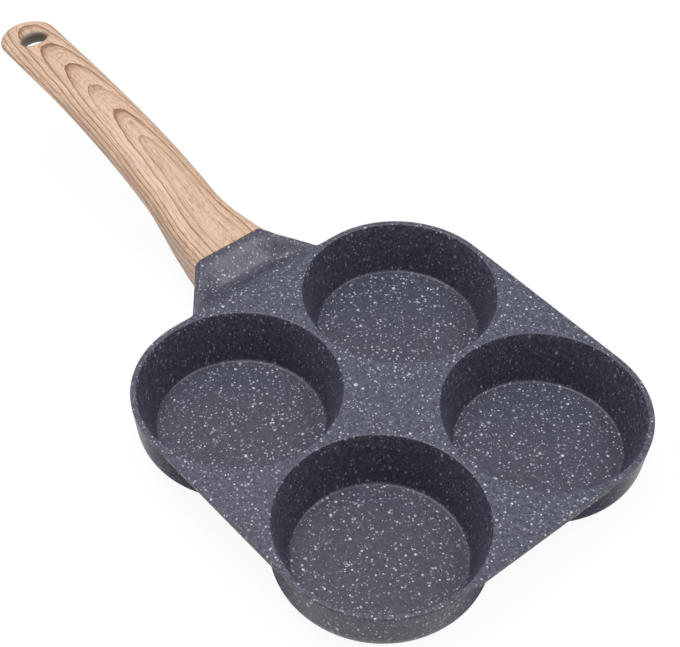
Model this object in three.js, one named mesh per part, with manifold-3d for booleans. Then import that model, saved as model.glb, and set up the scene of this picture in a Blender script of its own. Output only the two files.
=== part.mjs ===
// Four-cup frying pan: a die-cast pan body and a moulded wood-look handle, held by one screw from below.
// Millimetres, +Z up. The cups stand on z = 0, the handle runs along +X, and the origin is the middle of
// the whole pan's footprint. Inside the source, x = 0 is the middle of the four cups.
import * as THREE from 'three';
import { mergeVertices } from 'three/addons/utils/BufferGeometryUtils.js';
import Module from 'manifold-3d';

const wasm = await Module();
wasm.setup();

// Cups and the plate that joins them
const CUP_PITCH = 94;
const CUP_HEIGHT = 28.4;
const CUP_DEPTH = 24.5;
const RIM_RADIUS = 45.4;
const RIM_CHAMFER = 0.6;
const LIP_WIDTH = 2.6;
const LIP_CHAMFER = 0.7;
const WALL_FOOT_RADIUS = 38.2;
const FLOOR_FILLET = 1.5;
const WALL_INSET = 0.1;
const BASE_RADIUS = 45.3;
const BASE_FILLET = 13;
const BASE_RECESS_RADIUS = 24;
const BASE_RECESS_DEPTH = 0.5;
const PLATE_THICKNESS = 3;

// Neck, which dips behind the plate and climbs to the handle; heights are measured from the rim plane
const NECK_START = 70;
const NECK_END = 115;
const NECK_ROOT_HALF = 37;
const NECK_ROOT_DEPTH = 2.5;
const NECK_ROOT_BEVEL_WIDTH = 0.6;
const NECK_ROOT_BEVEL_HEIGHT = 0.5;
const NECK_FLARE = 1.5;
const NECK_FLARE_LENGTH = 3;
const NECK_BEVEL_FULL_X = 110;
const NECK_SKIN = 0.05;
const VALLEY_X = 100;
const VALLEY_HALF_LENGTH = 5;
const VALLEY_DEPTH = 1.7;
const CLIMB_START = 97;
const CREST_X = 115.5;
const CREST_RISE = 8;

// The bevelled section where neck and handle meet
const JOINT_Z = -2.25;
const JOINT_HALF_WIDTH = 20.3;
const JOINT_HALF_HEIGHT = 10.25;
const JOINT_BEVEL_WIDTH = 3.4;
const JOINT_BEVEL_HEIGHT = 2.6;
const FIT_GAP = 0.3;

// Handle: sections from the neck to the tail, heights measured from the rim plane
const HANDLE_SECTIONS = [
  {
    x: NECK_END + FIT_GAP / 2,
    z: JOINT_Z,
    halfWidth: JOINT_HALF_WIDTH,
    halfHeight: JOINT_HALF_HEIGHT,
    roundness: 0,
  },
  { x: 138, z: 1.2, halfWidth: 16.8, halfHeight: 10.2, roundness: 0.25 },
  { x: 160, z: 11.3, halfWidth: 16, halfHeight: 8.9, roundness: 1 },
  { x: 190, z: 19.5, halfWidth: 15.2, halfHeight: 8.1, roundness: 1 },
  { x: 230, z: 26.1, halfWidth: 14.7, halfHeight: 6.4, roundness: 1 },
  { x: 282, z: 30.5, halfWidth: 15.1, halfHeight: 3.6, roundness: 1 },
];
const OVAL_POWER = 2.4;
const BEVEL_LIMIT = 1 / 3;
const TAIL_LENGTH = 11.6;
const TAIL_POWER = 1.8;
const TAIL_TIP_HEIGHT = 0.4;
const TAIL_LAST_RING = 0.995;
const HANG_HOLE_X = 275.5;
const HANG_HOLE_Z = 30;
const HANG_HOLE_HALF_LENGTH = 4.1;
const HANG_HOLE_HALF_WIDTH = 6.6;
const HANG_HOLE_HALF_DEPTH = 4;
const HANG_HOLE_ROUNDING = 2.4;

// Tang and the screw that holds the handle on it, heights measured from the rim plane
const TANG_END = 143;
const TANG_SUNK = 2;
const TANG_RISE = 4.2;
const TANG_ROOT_Z = -0.7;
const TANG_HALF_WIDTH = 10.5;
const TANG_TIP_HALF_WIDTH = 9;
const TANG_HALF_THICKNESS = 2.75;
const TANG_CHAMFER = 1.2;
const SCREW_X = 130;
const SCREW_SEAT_Z = -4;
const SCREW_TIP_Z = 3.4;
const SCREW_RADIUS = 2.5;
const SCREW_TIP_CHAMFER = 0.8;
const SCREW_HEAD_RADIUS = 4.5;
const SCREW_HEAD_HEIGHT = 2.2;
const SCREW_DOME = 1.8;
const SCREW_HOLE_RADIUS = 2.85;
const COUNTERBORE_RADIUS = 5.5;
const RECESS_LENGTH = 4.6;
const RECESS_WIDTH = 1.1;
const RECESS_DEPTH = 1.3;
const WASHER_RADIUS = 5;
const WASHER_THICKNESS = 0.8;
const SPRING_WASHER_RADIUS = 4.4;
const SPRING_WASHER_THICKNESS = 1.1;
const SPRING_WASHER_GAP = 0.16;
const STACK_GAP = 0.1;

// Facets, and how far a cutter passes beyond what it cuts
const ROUND_SEGMENTS = 48;
const SMALL_SEGMENTS = 24;
const BASE_FILLET_STEPS = 6;
const FLOOR_FILLET_STEPS = 3;
const SCREW_DOME_STEPS = 4;
const NECK_STEPS = 26;
const HANDLE_STEPS = 26;
const TAIL_STEPS = 7;
const RING_SIDE_STEPS = 3;
const HANG_HOLE_STEPS = 4;
const CUT_PAST = 2;
const BORE_REACH = 20;
const MERGE_DISTANCE = 1e-4;

// Derived places
const LIP_RADIUS = RIM_RADIUS + LIP_WIDTH;
const BODY_HALF = CUP_PITCH / 2 + LIP_RADIUS;
const HANDLE_END = HANDLE_SECTIONS.at(-1).x + TAIL_LENGTH * TAIL_LAST_RING;
const NECK_UNDERSIDE = JOINT_Z - JOINT_HALF_HEIGHT;
const TANG_START = NECK_END - TANG_SUNK;
const WASHER_TOP = SCREW_SEAT_Z - STACK_GAP;
const SPRING_WASHER_TOP = WASHER_TOP - WASHER_THICKNESS - STACK_GAP;
const HEAD_TOP = SPRING_WASHER_TOP - SPRING_WASHER_THICKNESS - STACK_GAP;

const { lerp, clamp, smoothstep } = THREE.MathUtils;

// A row of values made from a count, first to last
function row(count, make) {
  return Array.from({ length: count }, (_, k) => make(k));
}

// A closed three.js geometry as a solid for joining and cutting
function solid(geometry) {
  const bare = geometry.clone();
  bare.deleteAttribute('normal');
  bare.deleteAttribute('uv');
  const merged = mergeVertices(bare, MERGE_DISTANCE);
  const corners = merged.index.array;
  const triVerts = [];
  for (let i = 0; i < corners.length; i += 3) {
    const [a, b, c] = corners.slice(i, i + 3);
    if (a !== b && b !== c && c !== a) triVerts.push(a, b, c);
  }
  return new wasm.Manifold(new wasm.Mesh({
    numProp: 3,
    vertProperties: Float32Array.from(merged.attributes.position.array),
    triVerts: Uint32Array.from(triVerts),
  }));
}

// The finished solid as a three.js geometry
function geometryOf(body) {
  const mesh = body.getMesh();
  const geometry = new THREE.BufferGeometry();
  geometry.setAttribute('position', new THREE.BufferAttribute(mesh.vertProperties, 3));
  geometry.setIndex(new THREE.BufferAttribute(mesh.triVerts, 1));
  geometry.computeVertexNormals();
  return geometry;
}

// A profile of corners [radius, height, rounding], each rounded corner drawn as an arc of a few steps
function roundedProfile(corners, steps) {
  const places = corners.map(([x, y]) => new THREE.Vector2(x, y));
  return corners.flatMap(([, , rounding = 0], i) => {
    const corner = places[i];
    if (rounding === 0) return [corner];
    const back = places[i - 1].clone().sub(corner).normalize();
    const ahead = places[i + 1].clone().sub(corner).normalize();
    const half = Math.acos(back.dot(ahead)) / 2;
    const middle = back.clone().add(ahead).normalize();
    const centre = middle.multiplyScalar(rounding / Math.sin(half)).add(corner);
    const start = back.clone().multiplyScalar(rounding / Math.tan(half)).add(corner);
    const turn = Math.sign(ahead.cross(back)) * (Math.PI - 2 * half);
    return row(steps + 1, (k) => start.clone().rotateAround(centre, (turn * k) / steps));
  });
}

// A profile of [radius, height] turned about the Z axis
function turned(profile, segments) {
  return new THREE.LatheGeometry(profile, segments).rotateX(Math.PI / 2);
}

// Skin over a row of rings with equal point counts, with flat ends
function loft(rings) {
  const count = rings[0].length;
  const last = (rings.length - 1) * count;
  const faces = [];
  for (let r = 0; r + 1 < rings.length; r += 1) {
    for (let k = 0; k < count; k += 1) {
      const a = r * count + k;
      const b = r * count + ((k + 1) % count);
      faces.push(a, b, a + count, b, b + count, a + count);
    }
  }
  for (let k = 1; k + 1 < count; k += 1) {
    faces.push(0, k + 1, k, last, last + k, last + k + 1);
  }
  const geometry = new THREE.BufferGeometry();
  geometry.setFromPoints(rings.flat());
  geometry.setIndex(faces);
  return geometry;
}

// Angles round a bevelled section: up its side to the bevel at low, over it to high, and along the top
function ringAngles(low, high) {
  const side = row(RING_SIDE_STEPS, (k) => lerp(0, low, k / RING_SIDE_STEPS));
  const bevel = [low, (low + high) / 2, high];
  const top = row(RING_SIDE_STEPS - 1, (k) => lerp(high, Math.PI / 2, (k + 1) / RING_SIDE_STEPS));
  const quarter = [...side, ...bevel, ...top];
  const mirrored = quarter.slice(1).reverse().map((angle) => Math.PI - angle);
  const half = [...quarter, Math.PI / 2, ...mirrored];
  return [...half, ...half.map((angle) => angle + Math.PI)];
}

// One ring across the handle or neck at x: a bevelled box that turns into an oval as roundness goes to 1
function gripRing({ x, z, halfWidth, halfHeight, roundness = 0 }, bevelWidth, bevelHeight) {
  const low = Math.atan2(halfHeight - bevelHeight, halfWidth);
  const high = Math.atan2(halfHeight, halfWidth - bevelWidth);
  const slantZ = (halfWidth * bevelHeight) / bevelWidth + halfHeight - bevelHeight;
  const slantY = (slantZ * bevelWidth) / bevelHeight;
  return ringAngles(low, high).map((angle) => {
    const c = Math.abs(Math.cos(angle));
    const s = Math.abs(Math.sin(angle));
    const box = 1 / Math.max(c / halfWidth, s / halfHeight, c / slantY + s / slantZ);
    const oval = ((c / halfWidth) ** OVAL_POWER + (s / halfHeight) ** OVAL_POWER) ** (-1 / OVAL_POWER);
    const reach = lerp(box, oval, clamp(roundness, 0, 1));
    return new THREE.Vector3(x, reach * Math.cos(angle), CUP_HEIGHT + z + reach * Math.sin(angle));
  });
}

// Height of the neck's top above the rim plane: a shallow valley, then the climb to the handle
function neckTop(x) {
  const across = clamp((x - VALLEY_X) / VALLEY_HALF_LENGTH, -1, 1);
  const dip = VALLEY_DEPTH * Math.cos((across * Math.PI) / 2) ** 2;
  return CREST_RISE * smoothstep(x, CLIMB_START, CREST_X) - dip;
}

// The neck narrows in a straight taper from a small flare at the plate's edge
function neckHalfWidth(x) {
  const along = (x - BODY_HALF) / (NECK_END - BODY_HALF);
  const flare = clamp(1 - (x - BODY_HALF) / NECK_FLARE_LENGTH, 0, 1);
  return lerp(NECK_ROOT_HALF, JOINT_HALF_WIDTH, along) + NECK_FLARE * flare ** 2;
}

// The neck's root lies inside the plate, a skin below its face, and its end has the joint's section
function neck() {
  const rings = row(NECK_STEPS + 1, (k) => {
    const x = lerp(NECK_START, NECK_END - FIT_GAP / 2, k / NECK_STEPS);
    const top = neckTop(x) - NECK_SKIN;
    const bottom = lerp(-NECK_ROOT_DEPTH, NECK_UNDERSIDE, smoothstep(x, NECK_START, CREST_X));
    const section = { x, z: (top + bottom) / 2, halfWidth: neckHalfWidth(x), halfHeight: (top - bottom) / 2 };
    const grown = clamp((x - BODY_HALF) / (NECK_BEVEL_FULL_X - BODY_HALF), 0, 1);
    const bevelWidth = lerp(NECK_ROOT_BEVEL_WIDTH, JOINT_BEVEL_WIDTH, grown);
    const bevelHeight = lerp(NECK_ROOT_BEVEL_HEIGHT, JOINT_BEVEL_HEIGHT, grown);
    return gripRing(section, bevelWidth, bevelHeight);
  });
  return solid(loft(rings));
}

// The tang, or with a margin the socket that takes it
function tang(margin) {
  const rings = [TANG_START, NECK_END, TANG_END + margin].map((x) => {
    const along = clamp((x - NECK_END) / (TANG_END - NECK_END), 0, 1);
    const section = {
      x,
      z: TANG_ROOT_Z + TANG_RISE * along,
      halfWidth: lerp(TANG_HALF_WIDTH, TANG_TIP_HALF_WIDTH, along) + margin,
      halfHeight: TANG_HALF_THICKNESS + margin,
    };
    return gripRing(section, TANG_CHAMFER, TANG_CHAMFER);
  });
  return solid(loft(rings));
}

// An upright round hole at the screw, from far below up to a height above the rim plane
function screwBore(radius, top) {
  const rod = new THREE.CylinderGeometry(radius, radius, top + BORE_REACH, SMALL_SEGMENTS);
  return solid(rod.rotateX(Math.PI / 2).translate(SCREW_X, 0, CUP_HEIGHT + (top - BORE_REACH) / 2));
}

// Flat plate whose outline wraps the four cups
function plate() {
  const middle = CUP_PITCH / 2;
  const radius = LIP_RADIUS - LIP_CHAMFER;
  const outline = new THREE.Shape();
  outline.absarc(middle, middle, radius, 0, Math.PI / 2, false);
  outline.absarc(-middle, middle, radius, Math.PI / 2, Math.PI, false);
  outline.absarc(-middle, -middle, radius, Math.PI, 1.5 * Math.PI, false);
  outline.absarc(middle, -middle, radius, 1.5 * Math.PI, 2 * Math.PI, false);
  const sheet = new THREE.ExtrudeGeometry(outline, {
    depth: PLATE_THICKNESS - 2 * LIP_CHAMFER,
    bevelThickness: LIP_CHAMFER,
    bevelSize: LIP_CHAMFER,
    bevelSegments: 1,
    curveSegments: ROUND_SEGMENTS / 4,
  });
  return solid(sheet.translate(0, 0, CUP_HEIGHT - PLATE_THICKNESS + LIP_CHAMFER));
}

// Outside of one cup: a slightly hollow base, a large round foot, and a wall up to the plate's edge
function cupOutside() {
  const top = CUP_HEIGHT - PLATE_THICKNESS + LIP_CHAMFER;
  const corners = [
    [0, BASE_RECESS_DEPTH],
    [BASE_RECESS_RADIUS - BASE_RECESS_DEPTH, BASE_RECESS_DEPTH],
    [BASE_RECESS_RADIUS, 0],
    [BASE_RADIUS, 0, BASE_FILLET],
    [LIP_RADIUS - WALL_INSET, top],
    [0, top],
  ];
  return turned(roundedProfile(corners, BASE_FILLET_STEPS), ROUND_SEGMENTS);
}

// Inside of one cup: flat floor, filleted foot, sloping wall, and a softened rim
function cupInside() {
  const floor = CUP_HEIGHT - CUP_DEPTH;
  const rimOutside = RIM_RADIUS + RIM_CHAMFER / 2;
  const corners = [
    [0, floor],
    [WALL_FOOT_RADIUS, floor, FLOOR_FILLET],
    [RIM_RADIUS - RIM_CHAMFER / 2, CUP_HEIGHT - RIM_CHAMFER],
    [rimOutside, CUP_HEIGHT],
    [rimOutside, CUP_HEIGHT + CUT_PAST],
    [0, CUP_HEIGHT + CUT_PAST],
  ];
  return turned(roundedProfile(corners, FLOOR_FILLET_STEPS), ROUND_SEGMENTS);
}

function cupCentres() {
  const half = CUP_PITCH / 2;
  return [[half, half], [half, -half], [-half, half], [-half, -half]];
}

function panBody() {
  const outside = cupOutside();
  const inside = cupInside();
  let body = plate();
  cupCentres().forEach(([x, y]) => {
    body = body.add(solid(outside.clone().translate(x, y, 0)));
  });
  body = body.add(neck()).add(tang(0));
  cupCentres().forEach(([x, y]) => {
    body = body.subtract(solid(inside.clone().translate(x, y, 0)));
  });
  return geometryOf(body.subtract(screwBore(SCREW_HOLE_RADIUS, BORE_REACH)));
}

// A smooth curve through one measure of the handle's sections, against x
function handleCurve(measure) {
  const points = HANDLE_SECTIONS.map((section) => new THREE.Vector2(section.x, section[measure]));
  return new THREE.SplineCurve(points);
}

// The handle's section at a share of the way from the neck to where the tail starts to round off
function handleSection(share) {
  const at = (measure) => handleCurve(measure).getPoint(share);
  return {
    x: at('z').x,
    z: at('z').y,
    halfWidth: at('halfWidth').y,
    halfHeight: at('halfHeight').y,
    roundness: at('roundness').y,
  };
}

// Rings of the rounded tail: width follows a superellipse, height falls more slowly
function tailSection(share) {
  const end = handleSection(1);
  const before = handleSection(1 - 1 / HANDLE_STEPS);
  const slope = (end.z - before.z) / (end.x - before.x);
  const reach = Math.sin((share * Math.PI) / 2) * TAIL_LAST_RING;
  const narrowing = (1 - reach ** TAIL_POWER) ** (1 / TAIL_POWER);
  return {
    x: end.x + TAIL_LENGTH * reach,
    z: end.z + slope * TAIL_LENGTH * reach,
    halfWidth: end.halfWidth * narrowing,
    halfHeight: end.halfHeight * lerp(TAIL_TIP_HEIGHT, 1, narrowing),
    roundness: 1,
  };
}

// Hanging hole: an oval throat that rounds out into both faces of the tail
function hangHole() {
  const mouth = row(HANG_HOLE_STEPS + 1, (k) => {
    const angle = (k / HANG_HOLE_STEPS) * (Math.PI / 2);
    const flare = HANG_HOLE_ROUNDING * (1 - Math.cos(angle));
    return { height: HANG_HOLE_HALF_DEPTH - HANG_HOLE_ROUNDING * (1 - Math.sin(angle)), flare };
  });
  mouth.push({ height: HANG_HOLE_HALF_DEPTH + CUT_PAST, flare: HANG_HOLE_ROUNDING });
  const lower = mouth.map(({ height, flare }) => ({ height: -height, flare })).reverse();
  const rings = [...lower, ...mouth].map(({ height, flare }) => row(SMALL_SEGMENTS, (k) => {
    const angle = (2 * Math.PI * k) / SMALL_SEGMENTS;
    const x = HANG_HOLE_X + (HANG_HOLE_HALF_LENGTH + flare) * Math.cos(angle);
    const y = (HANG_HOLE_HALF_WIDTH + flare) * Math.sin(angle);
    return new THREE.Vector3(x, y, CUP_HEIGHT + HANG_HOLE_Z + height);
  }));
  return solid(loft(rings));
}

function handle() {
  const grip = row(HANDLE_STEPS + 1, (k) => handleSection(k / HANDLE_STEPS));
  const tail = row(TAIL_STEPS, (k) => tailSection((k + 1) / TAIL_STEPS));
  const rings = [...grip, ...tail].map((section) => {
    const bevelWidth = Math.min(JOINT_BEVEL_WIDTH, section.halfWidth * BEVEL_LIMIT);
    const bevelHeight = Math.min(JOINT_BEVEL_HEIGHT, section.halfHeight * BEVEL_LIMIT);
    return gripRing(section, bevelWidth, bevelHeight);
  });
  let body = solid(loft(rings)).subtract(tang(FIT_GAP));
  body = body.subtract(screwBore(SCREW_HOLE_RADIUS, TANG_ROOT_Z));
  body = body.subtract(screwBore(COUNTERBORE_RADIUS, SCREW_SEAT_Z));
  return geometryOf(body.subtract(hangHole()));
}

// Pan-head screw, head down, with a cross recess; z = 0 is the underside of its head
function handleScrew() {
  const tip = SCREW_TIP_Z - HEAD_TOP;
  const corners = [
    [0, -SCREW_HEAD_HEIGHT],
    [SCREW_HEAD_RADIUS, -SCREW_HEAD_HEIGHT, SCREW_DOME],
    [SCREW_HEAD_RADIUS, 0],
    [SCREW_RADIUS, 0],
    [SCREW_RADIUS, tip - SCREW_TIP_CHAMFER],
    [SCREW_RADIUS - SCREW_TIP_CHAMFER, tip],
    [0, tip],
  ];
  const body = solid(turned(roundedProfile(corners, SCREW_DOME_STEPS), SMALL_SEGMENTS));
  const slot = new THREE.BoxGeometry(RECESS_LENGTH, RECESS_WIDTH, 2 * RECESS_DEPTH);
  slot.translate(0, 0, -SCREW_HEAD_HEIGHT);
  const crossing = slot.clone().rotateZ(Math.PI / 2);
  return geometryOf(body.subtract(solid(slot)).subtract(solid(crossing)));
}

function flatWasher() {
  const corners = [
    [SCREW_HOLE_RADIUS, 0],
    [WASHER_RADIUS, 0],
    [WASHER_RADIUS, WASHER_THICKNESS],
    [SCREW_HOLE_RADIUS, WASHER_THICKNESS],
    [SCREW_HOLE_RADIUS, 0],
  ];
  return geometryOf(solid(turned(roundedProfile(corners), SMALL_SEGMENTS)));
}

// Split ring, drawn up flat by the screw
function springWasher() {
  const ring = new THREE.Shape();
  const from = SPRING_WASHER_GAP;
  const to = 2 * Math.PI - SPRING_WASHER_GAP;
  ring.absarc(0, 0, SPRING_WASHER_RADIUS, from, to, false);
  ring.absarc(0, 0, SCREW_HOLE_RADIUS, to, from, true);
  ring.closePath();
  const settings = { depth: SPRING_WASHER_THICKNESS, bevelEnabled: false, curveSegments: SMALL_SEGMENTS };
  return geometryOf(solid(new THREE.ExtrudeGeometry(ring, settings)));
}

const coating = new THREE.MeshStandardMaterial({ color: 0x55555f, roughness: 0.55, metalness: 0.1 });
const woodLook = new THREE.MeshStandardMaterial({ color: 0xd2b193, roughness: 0.5, metalness: 0 });
const zincSteel = new THREE.MeshStandardMaterial({ color: 0xb9bcc0, roughness: 0.35, metalness: 0.9 });

function piece(name, geometry, material) {
  const mesh = new THREE.Mesh(geometry, material);
  mesh.name = name;
  return mesh;
}

// The screw and its washers, one below the other under the tang
function fastening() {
  const screw = piece('handle_screw', handleScrew(), zincSteel);
  const flat = piece('flat_washer', flatWasher(), zincSteel);
  const spring = piece('spring_washer', springWasher(), zincSteel);
  screw.position.z = HEAD_TOP;
  flat.position.z = WASHER_TOP - WASHER_THICKNESS;
  spring.position.z = SPRING_WASHER_TOP - SPRING_WASHER_THICKNESS;
  const group = new THREE.Group();
  group.position.set(SCREW_X, 0, CUP_HEIGHT);
  return group.add(screw, flat, spring);
}

const pan = new THREE.Group();
pan.position.x = (BODY_HALF - HANDLE_END) / 2;
pan.add(piece('pan_body', panBody(), coating), piece('handle', handle(), woodLook), fastening());

export default pan;
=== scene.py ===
"""Looks of a four-cup frying pan: a speckled, coated casting with a moulded wood-look handle.

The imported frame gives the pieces' places. Shapes are worked out in millimetres, with x = 0 at the middle of
the four cups and z = 0 on the plane that the cups stand on, and are written to the meshes in metres.
"""

import logging
import math
from collections.abc import Sequence
from dataclasses import dataclass
from enum import Enum

import bmesh
import bpy
import numpy as np
from mathutils import Matrix, Vector


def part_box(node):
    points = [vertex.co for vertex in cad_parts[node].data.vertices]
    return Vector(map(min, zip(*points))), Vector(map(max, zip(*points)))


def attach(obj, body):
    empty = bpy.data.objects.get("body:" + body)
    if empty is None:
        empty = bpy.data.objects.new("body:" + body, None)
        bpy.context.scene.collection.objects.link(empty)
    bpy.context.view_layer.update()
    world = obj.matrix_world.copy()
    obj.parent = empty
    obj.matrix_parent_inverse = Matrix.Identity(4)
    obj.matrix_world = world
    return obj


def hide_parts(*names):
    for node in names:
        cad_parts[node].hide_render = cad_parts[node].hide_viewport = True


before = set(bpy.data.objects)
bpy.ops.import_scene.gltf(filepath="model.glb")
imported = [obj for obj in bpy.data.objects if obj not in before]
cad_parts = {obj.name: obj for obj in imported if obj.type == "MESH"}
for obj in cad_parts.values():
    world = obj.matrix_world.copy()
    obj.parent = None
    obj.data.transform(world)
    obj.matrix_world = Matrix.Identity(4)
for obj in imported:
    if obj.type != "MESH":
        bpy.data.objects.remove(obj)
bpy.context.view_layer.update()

log = logging.getLogger("pan")

Array = np.ndarray
Socket = bpy.types.NodeSocket
Source = Socket | float | tuple[float, ...]

MM = 0.001
QUARTER = np.pi / 2.0
# Points in one step of this lattice are welded, and the offset keeps round sizes off the steps' borders
WELD_STEPS_PER_MM = 1000
WELD_OFFSET = 0.37
# Powers of the superellipses that make a round and a straight bevel
ROUND_POWER = 2.0
STRAIGHT_POWER = 1.0
# Scales in y and z of the two rings that soften the edge on each side of the joint
SOFT_EDGE = ((0.996, 0.992), (0.985, 0.97))
ROOT_BODY = "root"


class Part(Enum):
    """The frame's nodes."""

    PAN_BODY = "pan_body"
    HANDLE = "handle"
    SCREW = "handle_screw"
    FLAT_WASHER = "flat_washer"
    SPRING_WASHER = "spring_washer"


class Slot(Enum):
    """The record's material slots."""

    COATING = "speckled_coating"
    WOOD = "wood_look"
    ZINC = "zinc_steel"


# Numbers and profiles


def blend(first: Array | float, last: Array | float, share: Array | float) -> Array | float:
    """Straight blend from first to last."""
    return first + (last - first) * share


def smoothstep(value: Array, low: float, high: float) -> Array:
    """Share of the way from low to high, eased in and out: t * t * (3 - 2 t)."""
    t = np.clip((value - low) / (high - low), 0.0, 1.0)
    return t * t * (3.0 - 2.0 * t)


def shares(steps: int) -> Array:
    """Even shares of the way from 0 to 1, one row each."""
    return np.linspace(0.0, 1.0, steps + 1)[:, None]


def stretches(stops: Sequence[float], steps: Sequence[int]) -> Array:
    """Values through a row of stops, each stretch cut into its own number of equal steps.

    Args:
        stops: The values at the stretches' ends.
        steps: How many steps each stretch has.

    Returns:
        All the values, from the first stop to the last.
    """
    parts = [np.linspace(a, b, n, endpoint=False) for a, b, n in zip(stops, stops[1:], steps)]
    return np.append(np.concatenate(parts), stops[-1])


@dataclass(frozen=True)
class Corner:
    """One corner of a turned profile, sharp or rounded off by an arc. Millimetres."""

    radius: float
    height: float
    rounding: float = 0.0


def rounded_profile(corners: Sequence[Corner], steps: int) -> Array:
    """Profile through corners, each rounding an arc tangent to both of the corner's sides.

    The arc starts rounding / tan(half the corner's angle) before the corner, and its centre lies on the
    corner's middle line, rounding / sin(half the angle) away.

    Args:
        corners: The profile's corners in order; the first and last have no rounding.
        steps: How many steps each arc has.

    Returns:
        The points as rows of radius and height.
    """
    places = np.array([(corner.radius, corner.height) for corner in corners])
    parts = []
    for k, corner in enumerate(corners):
        if corner.rounding == 0.0:
            parts.append(places[k : k + 1])
            continue
        back = places[k - 1] - places[k]
        ahead = places[k + 1] - places[k]
        back = back / np.linalg.norm(back)
        ahead = ahead / np.linalg.norm(ahead)
        half = np.arccos(back @ ahead) / 2.0
        middle = (back + ahead) / np.linalg.norm(back + ahead)
        centre = places[k] + middle * corner.rounding / np.sin(half)
        arm = places[k] + back * corner.rounding / np.tan(half) - centre
        side = np.sign(ahead[0] * back[1] - ahead[1] * back[0])
        turn = np.linspace(0.0, side * (np.pi - 2.0 * half), steps + 1)
        cosine, sine = np.cos(turn), np.sin(turn)
        spun = np.stack([arm[0] * cosine - arm[1] * sine, arm[0] * sine + arm[1] * cosine], axis=1)
        parts.append(centre + spun)
    return np.concatenate(parts)


def bevel_curve(power: Array | float, steps: int) -> tuple[Array, Array]:
    """Quarter of a superellipse from a flat top round to an upright side.

    out = sin(t) ** (2 / power) and drop = 1 - cos(t) ** (2 / power), with t from 0 to a quarter turn. A power
    of 2 is a round, and a power near 1 is a straight bevel with soft ends.

    Args:
        power: The superellipse's power, one for all columns or one for each.
        steps: How many steps the curve has.

    Returns:
        The shares of the way out and down, each with one row for each point.
    """
    t = shares(steps) * QUARTER
    grade = 2.0 / np.atleast_1d(power)[None, :]
    return np.sin(t) ** grade, 1.0 - np.maximum(np.cos(t), 0.0) ** grade


def grid_of(x: Array, y: Array, z: Array) -> Array:
    """Rows by columns of points from three arrays that broadcast together."""
    return np.stack(np.broadcast_arrays(x, y, z), axis=-1).astype(float)


def scaled_rings(
    ring: Array, middle: float, stations: Sequence[tuple[float, float, float, float]]
) -> Array:
    """Copies of a cross-section, each scaled in y and z about its middle and set at its own x.

    Args:
        ring: The cross-section's points, one row each.
        middle: The height that it is scaled about.
        stations: For each copy its x, its scales in y and z, and the height of its middle.

    Returns:
        A grid with one column for each copy.
    """
    x, scale_y, scale_z, centre = np.array(stations).T
    return grid_of(x, ring[:, 1:2] * scale_y, centre + (ring[:, 2:] - middle) * scale_z)


class Skin:
    """Collects grids of points and welds them into one closed surface."""

    def __init__(self) -> None:
        """Starts with no grids."""
        self.points: list[Array] = []
        self.quads: list[Array] = []
        self.count = 0

    def add(self, grid: Array) -> None:
        """Adds one grid, with a four-cornered face between each pair of rows and columns.

        Args:
            grid: Points with the shape rows, columns, 3.
        """
        rows, columns = grid.shape[:2]
        index = np.arange(rows * columns).reshape(rows, columns) + self.count
        quads = np.stack([index[:-1, :-1], index[1:, :-1], index[1:, 1:], index[:-1, 1:]], axis=-1)
        self.points.append(grid.reshape(-1, 3))
        self.quads.append(quads.reshape(-1, 4))
        self.count += rows * columns

    def add_both_sides(self, grid: Array) -> None:
        """Adds a grid and its mirror image across the plane y = 0."""
        self.add(grid)
        self.add(grid * np.array([1.0, -1.0, 1.0]))

    def welded(self) -> tuple[Array, list[list[int]]]:
        """Merges the points that lie in one place and drops the faces that have shrunk to a line.

        Returns:
            The points in millimetres, and the faces as lists of three or four point numbers.
        """
        points = np.concatenate(self.points)
        keys = np.floor(points * WELD_STEPS_PER_MM + WELD_OFFSET).astype(np.int64)
        _, first, merged = np.unique(keys, axis=0, return_index=True, return_inverse=True)
        quads = merged.reshape(-1)[np.concatenate(self.quads)]
        fresh = quads != np.roll(quads, 1, axis=1)
        corners = fresh.sum(axis=1)
        crossed = (quads[:, 0] == quads[:, 2]) | (quads[:, 1] == quads[:, 3])
        whole = quads[(corners == 4) & ~crossed]
        three = (corners == 3) & ~crossed
        thirds = quads[three][fresh[three]].reshape(-1, 3)
        return points[first], whole.tolist() + thirds.tolist()


# Blender pieces


def write_piece(name: str, skin: Skin, shift: float) -> bpy.types.Object:
    """Makes a smooth-shaded Blender object of a skin, with its faces pointing out.

    Args:
        name: The piece's name.
        skin: Its welded grids, in millimetres from the middle of the cups.
        shift: How far the frame's origin lies along +X from the middle of the cups, in millimetres.

    Returns:
        The new object, at the origin, with its place in its mesh.
    """
    points, faces = skin.welded()
    mesh = bpy.data.meshes.new(name)
    mesh.from_pydata(((points - np.array([shift, 0.0, 0.0])) * MM).tolist(), [], faces)
    work = bmesh.new()
    work.from_mesh(mesh)
    bmesh.ops.recalc_face_normals(work, faces=work.faces)
    work.to_mesh(mesh)
    work.free()
    mesh.shade_smooth()
    piece = bpy.data.objects.new(name, mesh)
    bpy.context.scene.collection.objects.link(piece)
    return piece


def cut_away(piece: bpy.types.Object, cutters: Sequence[bpy.types.Object]) -> None:
    """Cuts closed pieces out of another and removes the cutters.

    Args:
        piece: The piece that is cut; its mesh is replaced.
        cutters: The closed pieces taken away from it.
    """
    for cutter in cutters:
        cut = piece.modifiers.new("cut", "BOOLEAN")
        cut.operation = "DIFFERENCE"
        cut.solver = "EXACT"
        cut.object = cutter
    graph = bpy.context.evaluated_depsgraph_get()
    cut_mesh = bpy.data.meshes.new_from_object(piece.evaluated_get(graph))
    old = piece.data
    piece.modifiers.clear()
    piece.data = cut_mesh
    cut_mesh.name = old.name
    bpy.data.meshes.remove(old)
    for cutter in cutters:
        spent = cutter.data
        bpy.data.objects.remove(cutter)
        bpy.data.meshes.remove(spent)


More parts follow.
